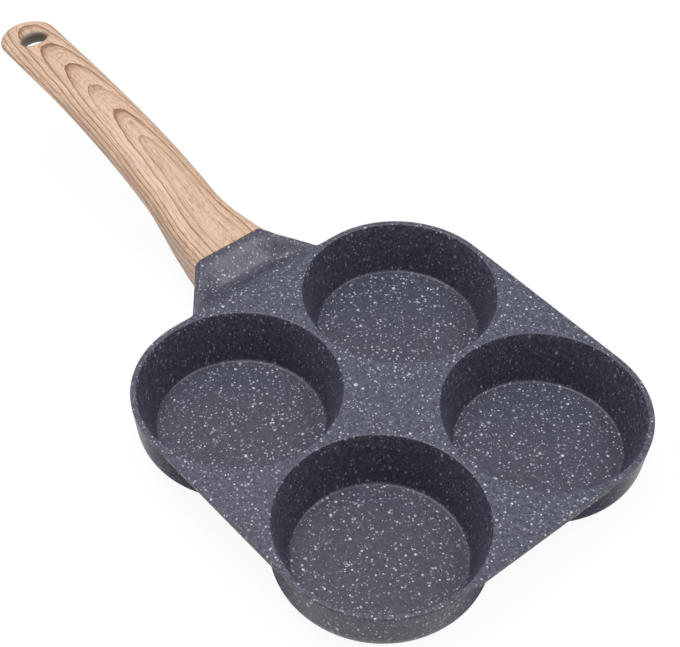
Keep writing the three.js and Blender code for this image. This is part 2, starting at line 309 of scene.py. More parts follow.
def sharpen(piece: bpy.types.Object, angle: float) -> None:
    """Keeps the edges that turn by more than an angle in degrees sharp, and the rest smooth."""
    piece.data.shade_smooth()
    piece.data.set_sharp_from_angle(angle=math.radians(angle))


def points_of(piece: bpy.types.Object, shift: float) -> Array:
    """The piece's points in millimetres from the middle of the cups, one row each.

    Args:
        piece: The piece to read.
        shift: The frame's origin along x, in millimetres from the middle of the cups.

    Returns:
        The points as rows of x, y and z.
    """
    flat = np.empty(len(piece.data.vertices) * 3)
    piece.data.vertices.foreach_get("co", flat)
    return flat.reshape(-1, 3) / MM + np.array([shift, 0.0, 0.0])


def mark_values(piece: bpy.types.Object, name: str, values: Array) -> None:
    """Writes one value for each point of a piece, which its material reads by name."""
    layer = piece.data.attributes.new(name, "FLOAT", "POINT")
    layer.data.foreach_set("value", values.astype(np.float32))


def mark_points(piece: bpy.types.Object, name: str, vectors: Array) -> None:
    """Writes one vector for each point of a piece, which its material reads by name."""
    layer = piece.data.attributes.new(name, "FLOAT_VECTOR", "POINT")
    layer.data.foreach_set("vector", vectors.astype(np.float32).reshape(-1))


def turned_skin(profile: Array, x: float, segments: int) -> Skin:
    """Surface of a profile turned about an upright axis at x on the plane y = 0.

    Args:
        profile: Rows of radius and height.
        x: The axis's place.
        segments: How many steps the turn has.

    Returns:
        A skin with the turned surface.
    """
    skin = Skin()
    turn = np.linspace(0.0, 2.0 * np.pi, segments + 1)[None, :]
    skin.add(grid_of(x + profile[:, :1] * np.cos(turn), profile[:, :1] * np.sin(turn), profile[:, 1:]))
    return skin


# Shader wiring


@dataclass(frozen=True)
class Ramp:
    """A step in a value: what lies between low and high goes to between first and last."""

    low: float
    high: float
    first: float = 0.0
    last: float = 1.0


@dataclass(frozen=True)
class Waver:
    """Noise drawn out along a piece: its waves per millimetre along x, y and z, and its octaves."""

    rates: tuple[float, float, float]
    detail: float = 2.0
    roughness: float = 0.5


class Wiring:
    """Adds and links the nodes of one shader tree."""

    def __init__(self, tree: bpy.types.NodeTree) -> None:
        """Works on one tree."""
        self.tree = tree

    def node(self, kind: str, **settings: object) -> bpy.types.Node:
        """Adds a node with some of its settings.

        Args:
            kind: The node's type.
            settings: Values of its properties, by name.

        Returns:
            The new node.
        """
        made = self.tree.nodes.new(kind)
        for name, value in settings.items():
            setattr(made, name, value)
        return made

    def feed(self, socket: Socket, source: Source) -> None:
        """Links a socket to another, or gives it a constant.

        Args:
            socket: The input to fill.
            source: Another node's output, or a constant.
        """
        if isinstance(source, bpy.types.NodeSocket):
            self.tree.links.new(source, socket)
        else:
            socket.default_value = source

    def math(self, operation: str, *sources: Source, clamp: bool = False) -> Socket:
        """One sum, product or other operation on values.

        Args:
            operation: The Math node's operation.
            sources: What it works on, in order.
            clamp: Whether the result is kept between 0 and 1.

        Returns:
            The result.
        """
        made = self.node("ShaderNodeMath", operation=operation, use_clamp=clamp)
        for socket, source in zip(made.inputs, sources):
            self.feed(socket, source)
        return made.outputs[0]

    def vector(self, operation: str, *sources: Source) -> Socket:
        """One operation on vectors.

        Args:
            operation: The Vector Math node's operation.
            sources: What it works on, in order.

        Returns:
            The resulting vector.
        """
        made = self.node("ShaderNodeVectorMath", operation=operation)
        for socket, source in zip(made.inputs, sources):
            self.feed(socket, source)
        return made.outputs["Vector"]

    def split(self, vector: Source) -> tuple[Socket, Socket, Socket]:
        """The three parts of a vector.

        Args:
            vector: The vector to take apart.

        Returns:
            Its x, y and z.
        """
        made = self.node("ShaderNodeSeparateXYZ")
        self.feed(made.inputs[0], vector)
        return tuple(made.outputs)

    def ease(self, value: Source, ramp: Ramp) -> Socket:
        """Value taken along a ramp, eased at both ends.

        Args:
            value: The value to take along the ramp.
            ramp: The ramp's ends.

        Returns:
            The eased value.
        """
        made = self.node("ShaderNodeMapRange", interpolation_type="SMOOTHSTEP")
        for socket, source in zip(made.inputs, (value, ramp.low, ramp.high, ramp.first, ramp.last)):
            self.feed(socket, source)
        return made.outputs["Result"]

    def mix(self, share: Source, first: Source, last: Source) -> Socket:
        """Colour blended from first to last.

        Args:
            share: 0 for the first colour, 1 for the last.
            first: The first colour.
            last: The last colour.

        Returns:
            The blended colour.
        """
        made = self.node("ShaderNodeMix", data_type="RGBA")
        for name, source in (("Factor_Float", share), ("A_Color", first), ("B_Color", last)):
            socket = next(s for s in made.inputs if s.identifier == name)
            self.feed(socket, source)
        return next(s for s in made.outputs if s.identifier == "Result_Color")

    def noise(self, vector: Source, scale: Source, detail: float = 2.0, roughness: float = 0.5) -> Socket:
        """Smooth noise of about 0 to 1.

        Args:
            vector: The place that it is read at.
            scale: Its waves for each unit of the place.
            detail: How many finer octaves it has.
            roughness: How strong the finer octaves are.

        Returns:
            The noise's value.
        """
        made = self.node("ShaderNodeTexNoise")
        self.feed(made.inputs["Vector"], vector)
        self.feed(made.inputs["Scale"], scale)
        made.inputs["Detail"].default_value = detail
        made.inputs["Roughness"].default_value = roughness
        return made.outputs["Fac"]

    def drawn_noise(self, place: Source, waver: Waver) -> Socket:
        """Noise of about 0 to 1, drawn out along the piece."""
        return self.noise(self.vector("MULTIPLY", place, waver.rates), 1.0, waver.detail, waver.roughness)

    def attribute(self, name: str) -> bpy.types.Node:
        """Reads what is written for each point of the piece under a name."""
        return self.node("ShaderNodeAttribute", attribute_type="GEOMETRY", attribute_name=name)

    def emboss(self, shader: bpy.types.Node, height: Source, strength: float, depth: float) -> None:
        """Bumps a shader's surface by a height, with a depth in millimetres.

        Args:
            shader: The shader whose normal is bent.
            height: The height over the surface, about 0 to 1.
            strength: The bump's strength.
            depth: What a height of 1 stands for, in millimetres.
        """
        bump = self.node("ShaderNodeBump")
        bump.inputs["Strength"].default_value = strength
        bump.inputs["Distance"].default_value = depth * MM
        self.feed(bump.inputs["Height"], height)
        self.feed(shader.inputs["Normal"], bump.outputs["Normal"])

    def group(self, tree: bpy.types.NodeTree, **sources: Source) -> bpy.types.Node:
        """Places a shader group and feeds its inputs by name.

        Args:
            tree: The group to place.
            sources: What goes into its inputs, by name.

        Returns:
            The group's node.
        """
        made = self.node("ShaderNodeGroup", node_tree=tree)
        for name, source in sources.items():
            self.feed(made.inputs[name], source)
        return made

    def millimetres(self) -> Socket:
        """The piece's own Object coordinates, in millimetres.

        Returns:
            The place as a vector.
        """
        place = self.node("ShaderNodeTexCoord").outputs["Object"]
        made = self.node("ShaderNodeVectorMath", operation="SCALE")
        self.feed(made.inputs[0], place)
        made.inputs["Scale"].default_value = 1.0 / MM
        return made.outputs["Vector"]


def new_group(
    name: str, inputs: dict[str, str], outputs: dict[str, str]
) -> tuple[Wiring, bpy.types.Node, bpy.types.Node]:
    """Starts a shader group with named sockets.

    Args:
        name: The group's name.
        inputs: Socket type for each input's name.
        outputs: Socket type for each output's name.

    Returns:
        The wiring of its tree, its input node and its output node.
    """
    tree = bpy.data.node_groups.new(name, "ShaderNodeTree")
    for label, kind in inputs.items():
        tree.interface.new_socket(name=label, in_out="INPUT", socket_type=kind)
    for label, kind in outputs.items():
        tree.interface.new_socket(name=label, in_out="OUTPUT", socket_type=kind)
    wiring = Wiring(tree)
    return wiring, wiring.node("NodeGroupInput"), wiring.node("NodeGroupOutput")


VALUE = "NodeSocketFloat"
VECTOR = "NodeSocketVector"


class Effects:
    """Shader groups that are built once and placed several times."""

    FLECK_EDGE = Ramp(0.45, 1.05, 1.0, 0.0)
    SIZE_FLOOR = 0.45
    RAGGED_PITCH = 1.1
    RAGGED_DETAIL = 1.0
    RAGGED_REACH = 1.3
    RAGGED_FLOOR = 0.35
    CLOUD_DETAIL = 3.0
    GRIT_DETAIL = 2.0

    def __init__(self) -> None:
        """Builds each group once."""
        self.speckle = self.make_speckle()
        self.breakup = self.make_breakup()

    def make_speckle(self) -> bpy.types.NodeTree:
        """Scattered flecks: a ragged ball round some of the seeds of a Voronoi lattice.

        A seed's colour is also its place in its cell, so a second draw on that colour says whether the seed
        has a fleck, how large it is and how bright.

        Returns:
            A group with inputs Place, Cell, Chance and Radius, and outputs Mask and Shade.
        """
        inputs = {"Place": VECTOR, "Cell": VALUE, "Chance": VALUE, "Radius": VALUE}
        wiring, given, put = new_group("speckle", inputs, {"Mask": VALUE, "Shade": VALUE})
        place = given.outputs["Place"]
        cell = given.outputs["Cell"]
        seeds = wiring.node("ShaderNodeTexVoronoi", feature="F1", voronoi_dimensions="3D")
        wiring.feed(seeds.inputs["Vector"], place)
        wiring.feed(seeds.inputs["Scale"], wiring.math("DIVIDE", 1.0, cell))
        lot = wiring.node("ShaderNodeTexWhiteNoise", noise_dimensions="3D")
        wiring.feed(lot.inputs["Vector"], seeds.outputs["Color"])
        chance, size, shade = wiring.split(lot.outputs["Color"])
        radius = given.outputs["Radius"]
        ragged = wiring.noise(place, wiring.math("DIVIDE", self.RAGGED_PITCH, radius), self.RAGGED_DETAIL)
        ragged = wiring.math("MULTIPLY_ADD", ragged, self.RAGGED_REACH, self.RAGGED_FLOOR)
        reach = wiring.math("MULTIPLY", radius, wiring.math("ADD", size, self.SIZE_FLOOR))
        reach = wiring.math("MULTIPLY", reach, ragged)
        distance = wiring.math("MULTIPLY", seeds.outputs["Distance"], cell)
        edge = wiring.ease(wiring.math("DIVIDE", distance, reach), self.FLECK_EDGE)
        present = wiring.math("LESS_THAN", chance, given.outputs["Chance"])
        wiring.feed(put.inputs["Mask"], wiring.math("MULTIPLY", edge, present))
        wiring.feed(put.inputs["Shade"], shade)
        return wiring.tree

    def make_breakup(self) -> bpy.types.NodeTree:
        """Uneven surface: broad cloudy noise and a fine one.

        Returns:
            A group with inputs Place, Broad and Fine, sizes in millimetres, and outputs Cloud and Grit.
        """
        inputs = {"Place": VECTOR, "Broad": VALUE, "Fine": VALUE}
        wiring, given, put = new_group("breakup", inputs, {"Cloud": VALUE, "Grit": VALUE})
        place = given.outputs["Place"]
        cloud = wiring.noise(place, wiring.math("DIVIDE", 1.0, given.outputs["Broad"]), self.CLOUD_DETAIL)
        grit = wiring.noise(place, wiring.math("DIVIDE", 1.0, given.outputs["Fine"]), self.GRIT_DETAIL)
        wiring.feed(put.inputs["Cloud"], cloud)
        wiring.feed(put.inputs["Grit"], grit)
        return wiring.tree


def new_material(name: str) -> tuple[Wiring, bpy.types.Material, bpy.types.Node]:
    """A material with a Principled shader.

    Args:
        name: The material's name.

    Returns:
        The wiring of its tree, the material and its shader node.
    """
    material = bpy.data.materials.new(name)
    material.use_nodes = True
    wiring = Wiring(material.node_tree)
    return wiring, material, material.node_tree.nodes["Principled BSDF"]


@dataclass(frozen=True)
class Fleck:
    """One size of fleck in the coating; lengths in millimetres."""

    cell: float
    chance: float
    radius: float


@dataclass(frozen=True)
class SpeckledCoating:
    """Dark grey non-stick coating with white and pale grey flecks. Lengths in millimetres."""

    slate: tuple[float, ...] = (0.0755, 0.077, 0.106, 1.0)
    # The mottle's dark end, and also the colour that painted shade darkens the slate towards
    deep_slate_and_shade: tuple[float, ...] = (0.0245, 0.0265, 0.043, 1.0)
    pale_fleck: tuple[float, ...] = (0.50, 0.51, 0.585, 1.0)
    grey_fleck: tuple[float, ...] = (0.13, 0.13, 0.168, 1.0)
    fleck_bias: float = 1.8
    flecks: tuple[Fleck, ...] = (Fleck(1.4, 0.92, 0.38), Fleck(2.3, 0.75, 0.57), Fleck(5.2, 0.30, 0.76))
    drawn_down: float = 0.7
    mottle: Ramp = Ramp(0.78, 1.20, 0.16, 0.88)
    cloud_size: float = 2.2
    grit_size: float = 1.0
    # Painted shade: how far the slate darkens down in the cups, along the neck and on the outsides under the
    # plate
    cup_painted_shade: float = 0.52
    neck_painted_shade: float = 0.90
    recess_painted_shade: float = 0.90
    # How many fewer flecks there are where shade is painted, so that they stay dim there
    wall_shade_thinning: float = 0.50
    neck_shade_thinning: float = 0.45
    recess_shade_thinning: float = 0.60
    recess_dullness: float = 0.45
    refraction: float = 1.36
    roughness: float = 0.29
    roughness_swing: float = 0.16
    bump: float = 0.12
    bump_depth: float = 0.3
    fleck_height: float = 0.5

    def make(self, effects: Effects) -> bpy.types.Material:
        """Builds the material.

        Shade is painted into the slate: it is darker, and the flecks fewer, down in the cups, along the
        neck's valley and joint and on the outsides under the plate, where the coat is duller too.

        Args:
            effects: The shared shader groups.

        Returns:
            The finished material.
        """
        wiring, material, shader = new_material(Slot.COATING.value)
        place = wiring.millimetres()
        uneven = wiring.group(effects.breakup, Place=place, Broad=self.cloud_size, Fine=self.grit_size)
        grit = uneven.outputs["Grit"]
        mottle = wiring.math("ADD", uneven.outputs["Cloud"], grit)
        colour = wiring.mix(wiring.ease(mottle, self.mottle), self.deep_slate_and_shade, self.slate)
        # Painted shade from the casting's marks: down in the cups, along the neck's valley and joint, and
        # under the plate
        depth, wall, neck = wiring.split(wiring.attribute("painted_shade").outputs["Vector"])
        painted_recess_mask = wiring.attribute("painted_recess_mask").outputs["Fac"]
        shade = wiring.math("MULTIPLY", depth, self.cup_painted_shade)
        shade = wiring.math("MULTIPLY_ADD", neck, self.neck_painted_shade, shade)
        shade = wiring.math("MULTIPLY_ADD", painted_recess_mask, self.recess_painted_shade, shade)
        colour = wiring.mix(shade, colour, self.deep_slate_and_shade)
        # Flecks are thinned where shade is painted
        cover = wiring.math("MULTIPLY_ADD", wall, -self.wall_shade_thinning, 1.0)
        cover = wiring.math("MULTIPLY_ADD", neck, -self.neck_shade_thinning, cover)
        cover = wiring.math("MULTIPLY_ADD", painted_recess_mask, -self.recess_shade_thinning, cover)
        drawn = wiring.vector("MULTIPLY", place, (1.0, 1.0, self.drawn_down))
        raised: Source = 0.0
        for fleck in self.flecks:
            marks = wiring.group(
                effects.speckle, Place=drawn, Cell=fleck.cell, Chance=fleck.chance, Radius=fleck.radius
            )
            shine = wiring.math("POWER", marks.outputs["Shade"], self.fleck_bias)
            tint = wiring.mix(shine, self.grey_fleck, self.pale_fleck)
            colour = wiring.mix(wiring.math("MULTIPLY", marks.outputs["Mask"], cover), colour, tint)
            raised = wiring.math("MAXIMUM", raised, marks.outputs["Mask"])
        wiring.feed(shader.inputs["Base Color"], colour)
        satin = wiring.math("MULTIPLY_ADD", grit, self.roughness_swing, self.roughness)
        satin = wiring.math("MULTIPLY_ADD", painted_recess_mask, self.recess_dullness, satin)
        wiring.feed(shader.inputs["Roughness"], satin)
        shader.inputs["IOR"].default_value = self.refraction
        height = wiring.math("MULTIPLY_ADD", raised, self.fleck_height, grit)
        wiring.emboss(shader, height, self.bump, self.bump_depth)
        return material


@dataclass(frozen=True)
class WoodLook:
    """Printed light wood: growth rings that run out in arches, with fine pores. Lengths in millimetres."""

    pale: tuple[float, ...] = (0.548, 0.388, 0.274, 1.0)
    ring: tuple[float, ...] = (0.175, 0.072, 0.033, 1.0)
    # Colour that the hanging hole's wall darkens towards
    hole_wall_dark: tuple[float, ...] = (0.115, 0.085, 0.066, 1.0)
    arch_side: float = -2.2
    arch_root: float = 174.0
    arch_spread: float = 7.55
    ring_start: float = 269.0
    ring_pitch: float = 20.5
    ring_strengths: tuple[float, ...] = (0.35, 0.45, 0.65, 0.4, 1.0, 0.45, 1.0, 1.0, 0.9)
    depth_rate: float = 5.0
    line_power: float = 8.0
    glow_power: float = 2.5
    glow_share: float = 0.40
    sway: Waver = Waver((0.035, 0.06, 0.06))
    sway_reach: float = 3.0
    ripple: Waver = Waver((0.16, 0.45, 0.45), 3.0, 0.6)
    ripple_reach: float = 0.22
    jag: Waver = Waver((0.45, 0.9, 0.9), 2.0, 0.6)
    jag_reach: float = 0.9
    fine_rate: float = 5.3
    fine_power: float = 3.0
    patches: Waver = Waver((0.05, 0.14, 0.14))
    patch_ramp: Ramp = Ramp(0.36, 0.60, 0.12, 0.46)
    streaks: Waver = Waver((0.05, 1.5, 1.5), 3.0, 0.6)
    streak_ramp: Ramp = Ramp(0.46, 0.68, 0.0, 0.36)
    pores: Waver = Waver((0.3, 3.0, 3.0))
    pore_ramp: Ramp = Ramp(0.50, 0.70, 0.0, 0.44)
    cloud_size: float = 14.0
    grit_size: float = 0.6
    roughness: float = 0.42
    roughness_swing: float = 0.12
    bump: float = 0.06
    bump_depth: float = 0.2

    def strength(self, wiring: Wiring, count: Socket) -> Socket:
        """How dark each ring is, looked up by its number in a stepped ramp.

        Args:
            wiring: The material's wiring.
            count: The ring number at each place, 0 at the first ring's tip and falling towards the neck.

        Returns:
            The strength of the ring that the place belongs to.
        """
        rings = len(self.ring_strengths)
        made = wiring.node("ShaderNodeValToRGB")
        ramp = made.color_ramp
        ramp.interpolation = "CONSTANT"
        for k, value in enumerate(self.ring_strengths):
            stop = ramp.elements[0] if k == 0 else ramp.elements.new(k / rings)
            stop.color = (value, value, value, 1.0)
        ramp.elements.remove(ramp.elements[-1])
        from_neck = wiring.math("SUBTRACT", count, 1.0 - rings)
        wiring.feed(made.inputs[0], wiring.math("DIVIDE", from_neck, float(rings)))
        return made.outputs["Color"]

    def ring_count(self, wiring: Wiring, place: Socket) -> Socket:
        """The growth field, counted in rings from the first ring's tip.

        The field is the place along the handle where a ring's arch has its tip. It solves
        (tip - x) (tip - root) = spread * |y| cubed / 4, which makes blunt arches that get narrower towards
        the root, and it grows with the depth below the top. The arches sway to the side, and their lines
        ripple.

        Args:
            wiring: The material's wiring.
            place: The place in the straightened handle.

        Returns:
            The ring number at each place.
        """
        x, y, depth = wiring.split(place)
        sway = wiring.drawn_noise(place, self.sway)
        middle = wiring.math("SUBTRACT", y, self.arch_side + self.sway_reach / 2.0)
        side = wiring.math("ABSOLUTE", wiring.math("MULTIPLY_ADD", sway, self.sway_reach, middle))
        cube = wiring.math("MULTIPLY", wiring.math("POWER", side, 3.0), self.arch_spread)
        root = wiring.math("SUBTRACT", x, self.arch_root)
        open_square = wiring.math("MULTIPLY_ADD", root, root, cube)
        tip = wiring.math("ADD", wiring.math("ADD", x, self.arch_root), wiring.math("SQRT", open_square))
        tip = wiring.math("MULTIPLY", tip, 0.5)
        tip = wiring.math("MULTIPLY_ADD", depth, self.depth_rate, tip)
        count = wiring.math("DIVIDE", wiring.math("SUBTRACT", tip, self.ring_start), self.ring_pitch)
        ripple = wiring.drawn_noise(place, self.ripple)
        level = wiring.math("SUBTRACT", count, self.ripple_reach / 2.0)
        return wiring.math("MULTIPLY_ADD", ripple, self.ripple_reach, level)

    def darkness(self, wiring: Wiring, place: Socket) -> Socket:
        """How dark the print is: ring lines with a soft glow, jagged fine lines, streaks and pores.

        Args:
            wiring: The material's wiring.
            place: The place in the straightened handle.

        Returns:
            The share of the ring colour at each place.
        """
        count = self.ring_count(wiring, place)
        phase = wiring.math("FRACT", count)
        line = wiring.math("POWER", phase, self.line_power)
        glow = wiring.math("POWER", phase, self.glow_power)
        shade = wiring.math("MULTIPLY_ADD", glow, self.glow_share, line)
        dark = wiring.math("MULTIPLY", shade, self.strength(wiring, count))
        fine_count = wiring.math("MULTIPLY", count, self.fine_rate)
        jag = wiring.drawn_noise(place, self.jag)
        fine_count = wiring.math("MULTIPLY_ADD", jag, self.jag_reach, fine_count)
        fine = wiring.math("POWER", wiring.math("FRACT", fine_count), self.fine_power)
        patches = wiring.ease(wiring.drawn_noise(place, self.patches), self.patch_ramp)
        dark = wiring.math("ADD", dark, wiring.math("MULTIPLY", fine, patches))
        streaks = wiring.ease(wiring.drawn_noise(place, self.streaks), self.streak_ramp)
        dark = wiring.math("ADD", dark, streaks)
        pores = wiring.ease(wiring.drawn_noise(place, self.pores), self.pore_ramp)
        return wiring.math("ADD", dark, pores, clamp=True)

    def make(self, effects: Effects) -> bpy.types.Material:
        """Builds the material; the hanging hole's wall is darker.

        Args:
            effects: The shared shader groups.

        Returns:
            The finished material.
        """
        wiring, material, shader = new_material(Slot.WOOD.value)
        dark = self.darkness(wiring, wiring.attribute("grain").outputs["Vector"])
        colour = wiring.mix(dark, self.pale, self.ring)
        colour = wiring.mix(wiring.attribute("hole_wall_darkening").outputs["Fac"], colour, self.hole_wall_dark)
        wiring.feed(shader.inputs["Base Color"], colour)
        place = wiring.millimetres()
        uneven = wiring.group(effects.breakup, Place=place, Broad=self.cloud_size, Fine=self.grit_size)
        satin = wiring.math("MULTIPLY_ADD", uneven.outputs["Cloud"], self.roughness_swing, self.roughness)
        wiring.feed(shader.inputs["Roughness"], satin)
        height = wiring.math("SUBTRACT", uneven.outputs["Grit"], dark)
        wiring.emboss(shader, height, self.bump, self.bump_depth)
        return material


@dataclass(frozen=True)
class ZincSteel:
    """Zinc-plated steel, slightly cloudy. Lengths in millimetres."""

    bright: tuple[float, ...] = (0.62, 0.64, 0.66, 1.0)
    dull: tuple[float, ...] = (0.40, 0.41, 0.43, 1.0)
    cloud_size: float = 1.6
    grit_size: float = 0.25
    roughness: float = 0.2
    roughness_swing: float = 0.25

    def make(self, effects: Effects) -> bpy.types.Material:
        """Builds the material.

        Args:
            effects: The shared shader groups.

        Returns:
            The finished material.
        """
        wiring, material, shader = new_material(Slot.ZINC.value)
        place = wiring.millimetres()
        uneven = wiring.group(effects.breakup, Place=place, Broad=self.cloud_size, Fine=self.grit_size)
        wiring.feed(shader.inputs["Base Color"], wiring.mix(uneven.outputs["Cloud"], self.dull, self.bright))
        satin = wiring.math("MULTIPLY_ADD", uneven.outputs["Grit"], self.roughness_swing, self.roughness)
        wiring.feed(shader.inputs["Roughness"], satin)
        shader.inputs["Metallic"].default_value = 1.0
        return material


# The casting


@dataclass(frozen=True)
class PanBody:
    """One casting: four cups, the plate that joins them, the neck and the tang. Millimetres."""

    # Cups and plate
    pitch: float = 94.0
    height: float = 28.4
    depth: float = 24.5
    rim_radius: float = 45.4
    rim_rounding: float = 0.7
    lip_width: float = 2.6
    lip_rounding: float = 0.45
    foot_radius: float = 38.2
    floor_fillet: float = 1.5
    plate_thickness: float = 3.0
    outside_top: float = 26.1
    outside_top_radius: float = 47.9
    base_radius: float = 45.3
    base_fillet: float = 13.0
    base_recess_radius: float = 24.0
    base_recess_depth: float = 0.5
    flush_bevel: float = 1.9
    # Neck, with its slopes at places along x
    slope_stops: tuple[tuple[float, float], ...] = (
        (94.0, 0.0),
        (98.0, -0.24),
        (102.5, 0.50),
        (106.0, 0.70),
        (110.0, 0.62),
        (115.0, 0.28),
    )
    crest_x: float = 115.0
    crest_rise: float = 8.0
    brim_start: float = 0.40
    brim_power: float = 1.25
    wedge_start: float = 70.0
    wedge_start_depth: float = 2.5
    wedge_end_depth: float = 12.5
    wedge_side_fade: float = 3.0
    wedge_end_fade: float = 5.0
    neck_root_half: float = 37.0
    neck_fillet: float = 3.0
    bevel_full_x: float = 110.0
    neck_end: float = 114.85
    # Joint with the handle
    joint_half: float = 20.3
    joint_half_height: float = 10.25
    joint_middle: float = -2.25
    joint_bevel_width: float = 3.4
    joint_bevel_height: float = 2.6
    joint_bevel_power: float = 1.25
    edge_setback: tuple[float, float] = (0.02, 0.05)
    # Tang
    tang_end: float = 143.0
    tang_root_z: float = -0.7
    tang_rise: float = 4.2
    tang_half_width: float = 10.5
    tang_tip_half_width: float = 9.0
    tang_half_thickness: float = 2.75
    screw_x: float = 130.0
    screw_hole_radius: float = 2.85
    # Painted shade on the coating
    inside_margin: float = 1.0
    lit_share: float = 0.15
    valley: tuple[float, float, float] = (91.5, 97.8, 104.5)
    joint_painted_shade: float = 0.5
    joint_painted_shade_start: float = 107.5
    painted_shade_fade: float = 0.75
    recess_turn: tuple[float, float] = (27.0, 67.0)
    recess_fade: float = 5.0
    # Steps of the grids
    cell_steps: tuple[int, ...] = (24, 6, 36, 18, 36, 36)
    floor_steps: int = 8
    inner_wall_steps: int = 7
    plate_steps: int = 12
    under_steps: int = 10
    outer_wall_steps: int = 8
    foot_steps: int = 18
    edge_steps: int = 7
    side_steps: int = 3
    fillet_steps: int = 11
    taper_steps: int = 30
    climb_steps: int = 400
    meeting_rounds: int = 8
    drill_segments: int = 48
    sharp_angle: float = 50.0

    @property
    def middle(self) -> float:
        """How far a cup's middle lies from the middle of the pan, along x and along y."""
        return self.pitch / 2.0

    @property
    def body_half(self) -> float:
        """Half the plate's width, out to the lip."""
        return self.middle + self.rim_radius + self.lip_width

    @property
    def flat_reach(self) -> float:
        """How far the plate's flat top reaches from a cup's middle before its edge rounds off."""
        return self.rim_radius + self.lip_width - self.lip_rounding

    @property
    def taper(self) -> float:
        """How fast the neck's half width falls along x."""
        return (self.neck_root_half - self.joint_half) / (self.neck_end - self.body_half)

    @property
    def root_turn(self) -> float:
        """How far the neck's outline turns in the fillet from the plate's edge to its straight side."""
        return math.atan2(1.0, self.taper)

    @property
    def root_y(self) -> float:
        """Where the fillet leaves the plate's edge."""
        rise = math.sin(self.root_turn) - self.taper * (1.0 - math.cos(self.root_turn))
        return self.neck_root_half + self.neck_fillet * rise

    def inside_profile(self) -> Array:
        """Inside of a cup from the floor's middle to the circle where the rim meets the plate.

        Returns:
            The points as rows of radius and height.
        """
        floor = self.height - self.depth
        corners = [
            Corner(0.0, floor),
            Corner(self.foot_radius, floor, self.floor_fillet),
            Corner(self.rim_radius, self.height, self.rim_rounding),
            Corner(self.flat_reach + self.lip_width, self.height),
        ]
        arcs = rounded_profile(corners, self.edge_steps)[:-1]
        floor_rows = blend(arcs[0], arcs[1], shares(self.floor_steps)[:-1])
        bend = self.edge_steps + 2
        wall_rows = blend(arcs[bend - 1], arcs[bend], shares(self.inner_wall_steps)[1:-1])
        return np.concatenate([floor_rows, arcs[1:bend], wall_rows, arcs[bend:]])

    def foot_profile(self) -> Array:
        """Outside of a cup from the end of its straight wall to the middle of its base.

        Returns:
            The points as rows of radius and height.
        """
        corners = [
            Corner(self.outside_top_radius, self.outside_top),
            Corner(self.base_radius, 0.0, self.base_fillet),
            Corner(self.base_recess_radius, 0.0),
            Corner(self.base_recess_radius - self.base_recess_depth, self.base_recess_depth),
            Corner(0.0, self.base_recess_depth),
        ]
        return rounded_profile(corners, self.foot_steps)[1:]

    def wall_radius(self, z: Array) -> Array:
        """Radius of a cup's outside at a height."""
        return blend(self.base_radius, self.outside_top_radius, z / self.outside_top)

    def climb(self, x: Array) -> Array:
        """Rise along the neck's middle: the sum of slopes that change evenly from stop to stop.

        Args:
            x: Places along x.

        Returns:
            The rise above the plate at each place.
        """
        places, slopes = np.array(self.slope_stops).T
        run = np.linspace(places[0], places[-1], self.climb_steps)
        slope = np.interp(run, places, slopes)
        rise = np.append(0.0, np.cumsum((slope[1:] + slope[:-1]) / 2.0 * np.diff(run)))
        return np.interp(x, run, rise * self.crest_rise / rise[-1])

    def top_height(self, x: Array, y: Array) -> Array:
        """Height of the plate's and neck's top.

        Along the middle the neck dips into a valley and then climbs to the handle. Towards its two sides the
        valley fills up, and the climb starts at the plate's edge.

        Args:
            x: Places along x.
            y: Places along y.

        Returns:
            The height at each place.
        """
        left = np.clip((self.crest_x - x) / (self.crest_x - self.body_half), 0.0, 1.0)
        brim = self.crest_rise * (1.0 - left**self.brim_power)
        side = smoothstep(np.abs(y) / self.neck_half(x), self.brim_start, 1.0)
        return self.height + blend(self.climb(x), brim, side)

    def under_height(self, x: Array, y: Array) -> Array:
        """Height of the plate's underside, with the neck's wedge growing out of it between the cups.

        Args:
            x: Places along x.
            y: Places along y.

        Returns:
            The height at each place.
        """
        sunk = smoothstep(x, self.wedge_start, self.crest_x)
        wedge = blend(self.wedge_start_depth, self.wedge_end_depth, sunk) - self.plate_thickness
        beside = smoothstep(np.abs(y), self.neck_root_half - self.wedge_side_fade, self.root_y)
        grown = smoothstep(x, self.body_half, self.body_half + self.wedge_end_fade)
        fade = 1.0 - beside * (1.0 - grown)
        return self.height - self.plate_thickness - np.maximum(wedge, 0.0) * fade

    def cell_angles(self) -> tuple[Array, int, int]:
        """Angles round a cup's middle, starting at the pan's middle line on the neck's side.

        Returns:
            The angles through one turn, the number of the one at the neck's root, and the number of the one
            where the plate's outer edge ends.
        """
        corner = math.atan2(self.middle, self.flat_reach)
        root = math.atan2(self.root_y - self.middle, self.flat_reach)
        edge_end = QUARTER + corner
        inner_corner = 2.5 * QUARTER
        stops = [-corner, root, 0.0, QUARTER, edge_end, inner_corner, 4.0 * QUARTER - corner]
        last = sum(self.cell_steps[: stops.index(edge_end)])
        return stretches(stops, self.cell_steps), self.cell_steps[0], last

    def cell_reach(self, angles: Array) -> Array:
        """How far a cup's share of the plate reaches: a rectangle with one corner rounded by the lip.

        Args:
            angles: Angles round the cup's middle.

        Returns:
            The distance from the cup's middle at each angle.
        """
        c, s = np.cos(angles), np.sin(angles)
        reach_x = np.where(c > 0.0, self.flat_reach, self.middle)
        reach_y = np.where(s > 0.0, self.flat_reach, self.middle)
        square = 1.0 / np.maximum(np.abs(c) / reach_x, np.abs(s) / reach_y)
        return np.where((c > 0.0) & (s > 0.0), self.flat_reach, square)

    @staticmethod
    def normal_turn(angles: Array) -> Array:
        """Direction of the outline's normal: along x, round the outer corner, then along y."""
        return np.clip(angles, 0.0, QUARTER)

